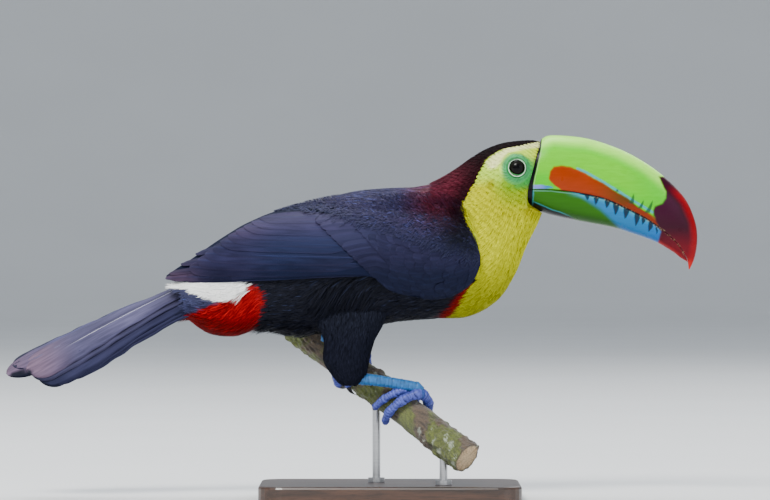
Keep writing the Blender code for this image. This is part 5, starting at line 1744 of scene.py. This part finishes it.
class TOUCAN_OT_stage(bpy.types.Operator):
    """Pale floor, soft lights and a level camera beside the bird"""

    bl_idname = "toucan.stage"
    bl_label = "Stage"

    def execute(self, context):
        bm = bmesh.new()
        turns = [k * math.pi / 16 for k in range(1, 9)]
        curve = [(7.5 + 2.5 * math.sin(turn), 2.5 - 2.5 * math.cos(turn)) for turn in turns]
        verts = [bm.verts.new((x, 0, z)) for x, z in [(0, 0), (7.5, 0), *curve, (10.0, 5.0)]]
        edges = [bm.edges.new(pair) for pair in zip(verts, verts[1:])]
        bmesh.ops.spin(bm, geom=verts + edges, cent=(0, 0, 0), axis=(0, 0, 1), angle=math.tau, steps=72,
                       use_merge=True)
        bmesh.ops.remove_doubles(bm, verts=bm.verts, dist=1e-5)
        bmesh.ops.recalc_face_normals(bm, faces=bm.faces)
        bmesh.ops.reverse_faces(bm, faces=bm.faces)
        # Painted plaster floor and cove: pale, matt, barely mottled.
        material, tree, shader = new_material("pale_plaster", Roughness=0.85)
        place = add_node(tree, "TexCoord").outputs["Object"]
        clouds = add_node(tree, "TexNoise", {"Vector": place, "Scale": 3.0})
        shade = add_node(tree, "Mix", {0: clouds.outputs[0], 6: opaque("#e2e3e2"), 7: opaque("#eaebea")},
                         data_type="RGBA")
        tree.links.new(shade.outputs[2], shader.inputs["Base Color"])
        mesh = mesh_of(bm, "floor")
        mesh.shade_smooth()
        mesh.materials.append(material)
        floor = bpy.data.objects.new("floor", mesh)
        context.scene.collection.objects.link(floor)

        for name, place, target, size, power, tone in (
            ("key_light", (-0.9, -2.5, 2.6), (0.0, 0.0, 0.16), 1.1, 153.0, (1.0, 0.98, 0.94)),
            ("fill_light", (2.2, -2.3, 0.9), (0.03, 0.0, 0.17), 1.6, 18.0, (0.93, 0.97, 1.0)),
            ("top_light", (-0.2, 0.6, 2.8), (0.0, 0.0, 0.15), 1.6, 80.0, (0.93, 0.96, 1.0)),
            ("rim_light", (1.4, 2.6, 2.0), (0.0, 0.0, 0.18), 1.4, 21.0, (1.0, 1.0, 1.0)),
        ):
            light = bpy.data.lights.new(name, "AREA")
            light.size, light.energy, light.color = size, power, tone
            lamp = bpy.data.objects.new(name, light)
            lamp.location = place
            lamp.rotation_euler = (Vector(target) - Vector(place)).to_track_quat("-Z", "Y").to_euler()
            context.scene.collection.objects.link(lamp)
        world = bpy.data.worlds.new("soft_daylight")
        world.use_nodes = True
        sky = world.node_tree.nodes["Background"]
        sky.inputs["Color"].default_value = (0.80, 0.88, 1.0, 1.0)
        sky.inputs["Strength"].default_value = 0.58
        context.scene.world = world

        camera = bpy.data.objects.new("camera", bpy.data.cameras.new("camera"))
        camera.data.sensor_width, camera.data.lens = 36.0, 212.5
        camera.location = (-0.0033, -3.0, 0.1637)
        camera.rotation_euler = (math.pi / 2, 0, 0)
        context.scene.collection.objects.link(camera)
        context.scene.camera = camera
        return {"FINISHED"}


# ---- Panel and running ----


OPERATORS = (
    TOUCAN_OT_skin, TOUCAN_OT_eyes, TOUCAN_OT_coat, TOUCAN_OT_wings, TOUCAN_OT_tail, TOUCAN_OT_bill,
    TOUCAN_OT_claws, TOUCAN_OT_perch, TOUCAN_OT_display_stand, TOUCAN_OT_stage,
)


class TOUCAN_PT_model(bpy.types.Panel):
    """Sizes, colours and steps of the model"""

    bl_idname = "TOUCAN_PT_model"
    bl_label = "Toucan"
    bl_space_type = "VIEW_3D"
    bl_region_type = "UI"
    bl_category = "Toucan"

    def draw(self, context):
        for operator in OPERATORS:
            self.layout.operator(operator.bl_idname)
        for group, kind in GROUPS.items():
            box = self.layout.box()
            box.label(text=kind.__name__.replace("Toucan", ""))
            for key in kind.__annotations__:
                box.prop(getattr(context.scene, group), key)


CLASSES = (*GROUPS.values(), *OPERATORS, TOUCAN_PT_model)


def register():
    for cls in CLASSES:
        bpy.utils.register_class(cls)
    for group, kind in GROUPS.items():
        setattr(bpy.types.Scene, group, bpy.props.PointerProperty(type=kind))


def unregister():
    for group in GROUPS:
        delattr(bpy.types.Scene, group)
    for cls in reversed(CLASSES):
        bpy.utils.unregister_class(cls)


def main():
    register()
    for operator in OPERATORS:
        step = getattr(bpy.ops.toucan, operator.bl_idname.split(".")[1])
        if step() != {"FINISHED"}:
            raise RuntimeError(f"{operator.bl_idname} didn't finish")


if __name__ == "__main__":
    main()
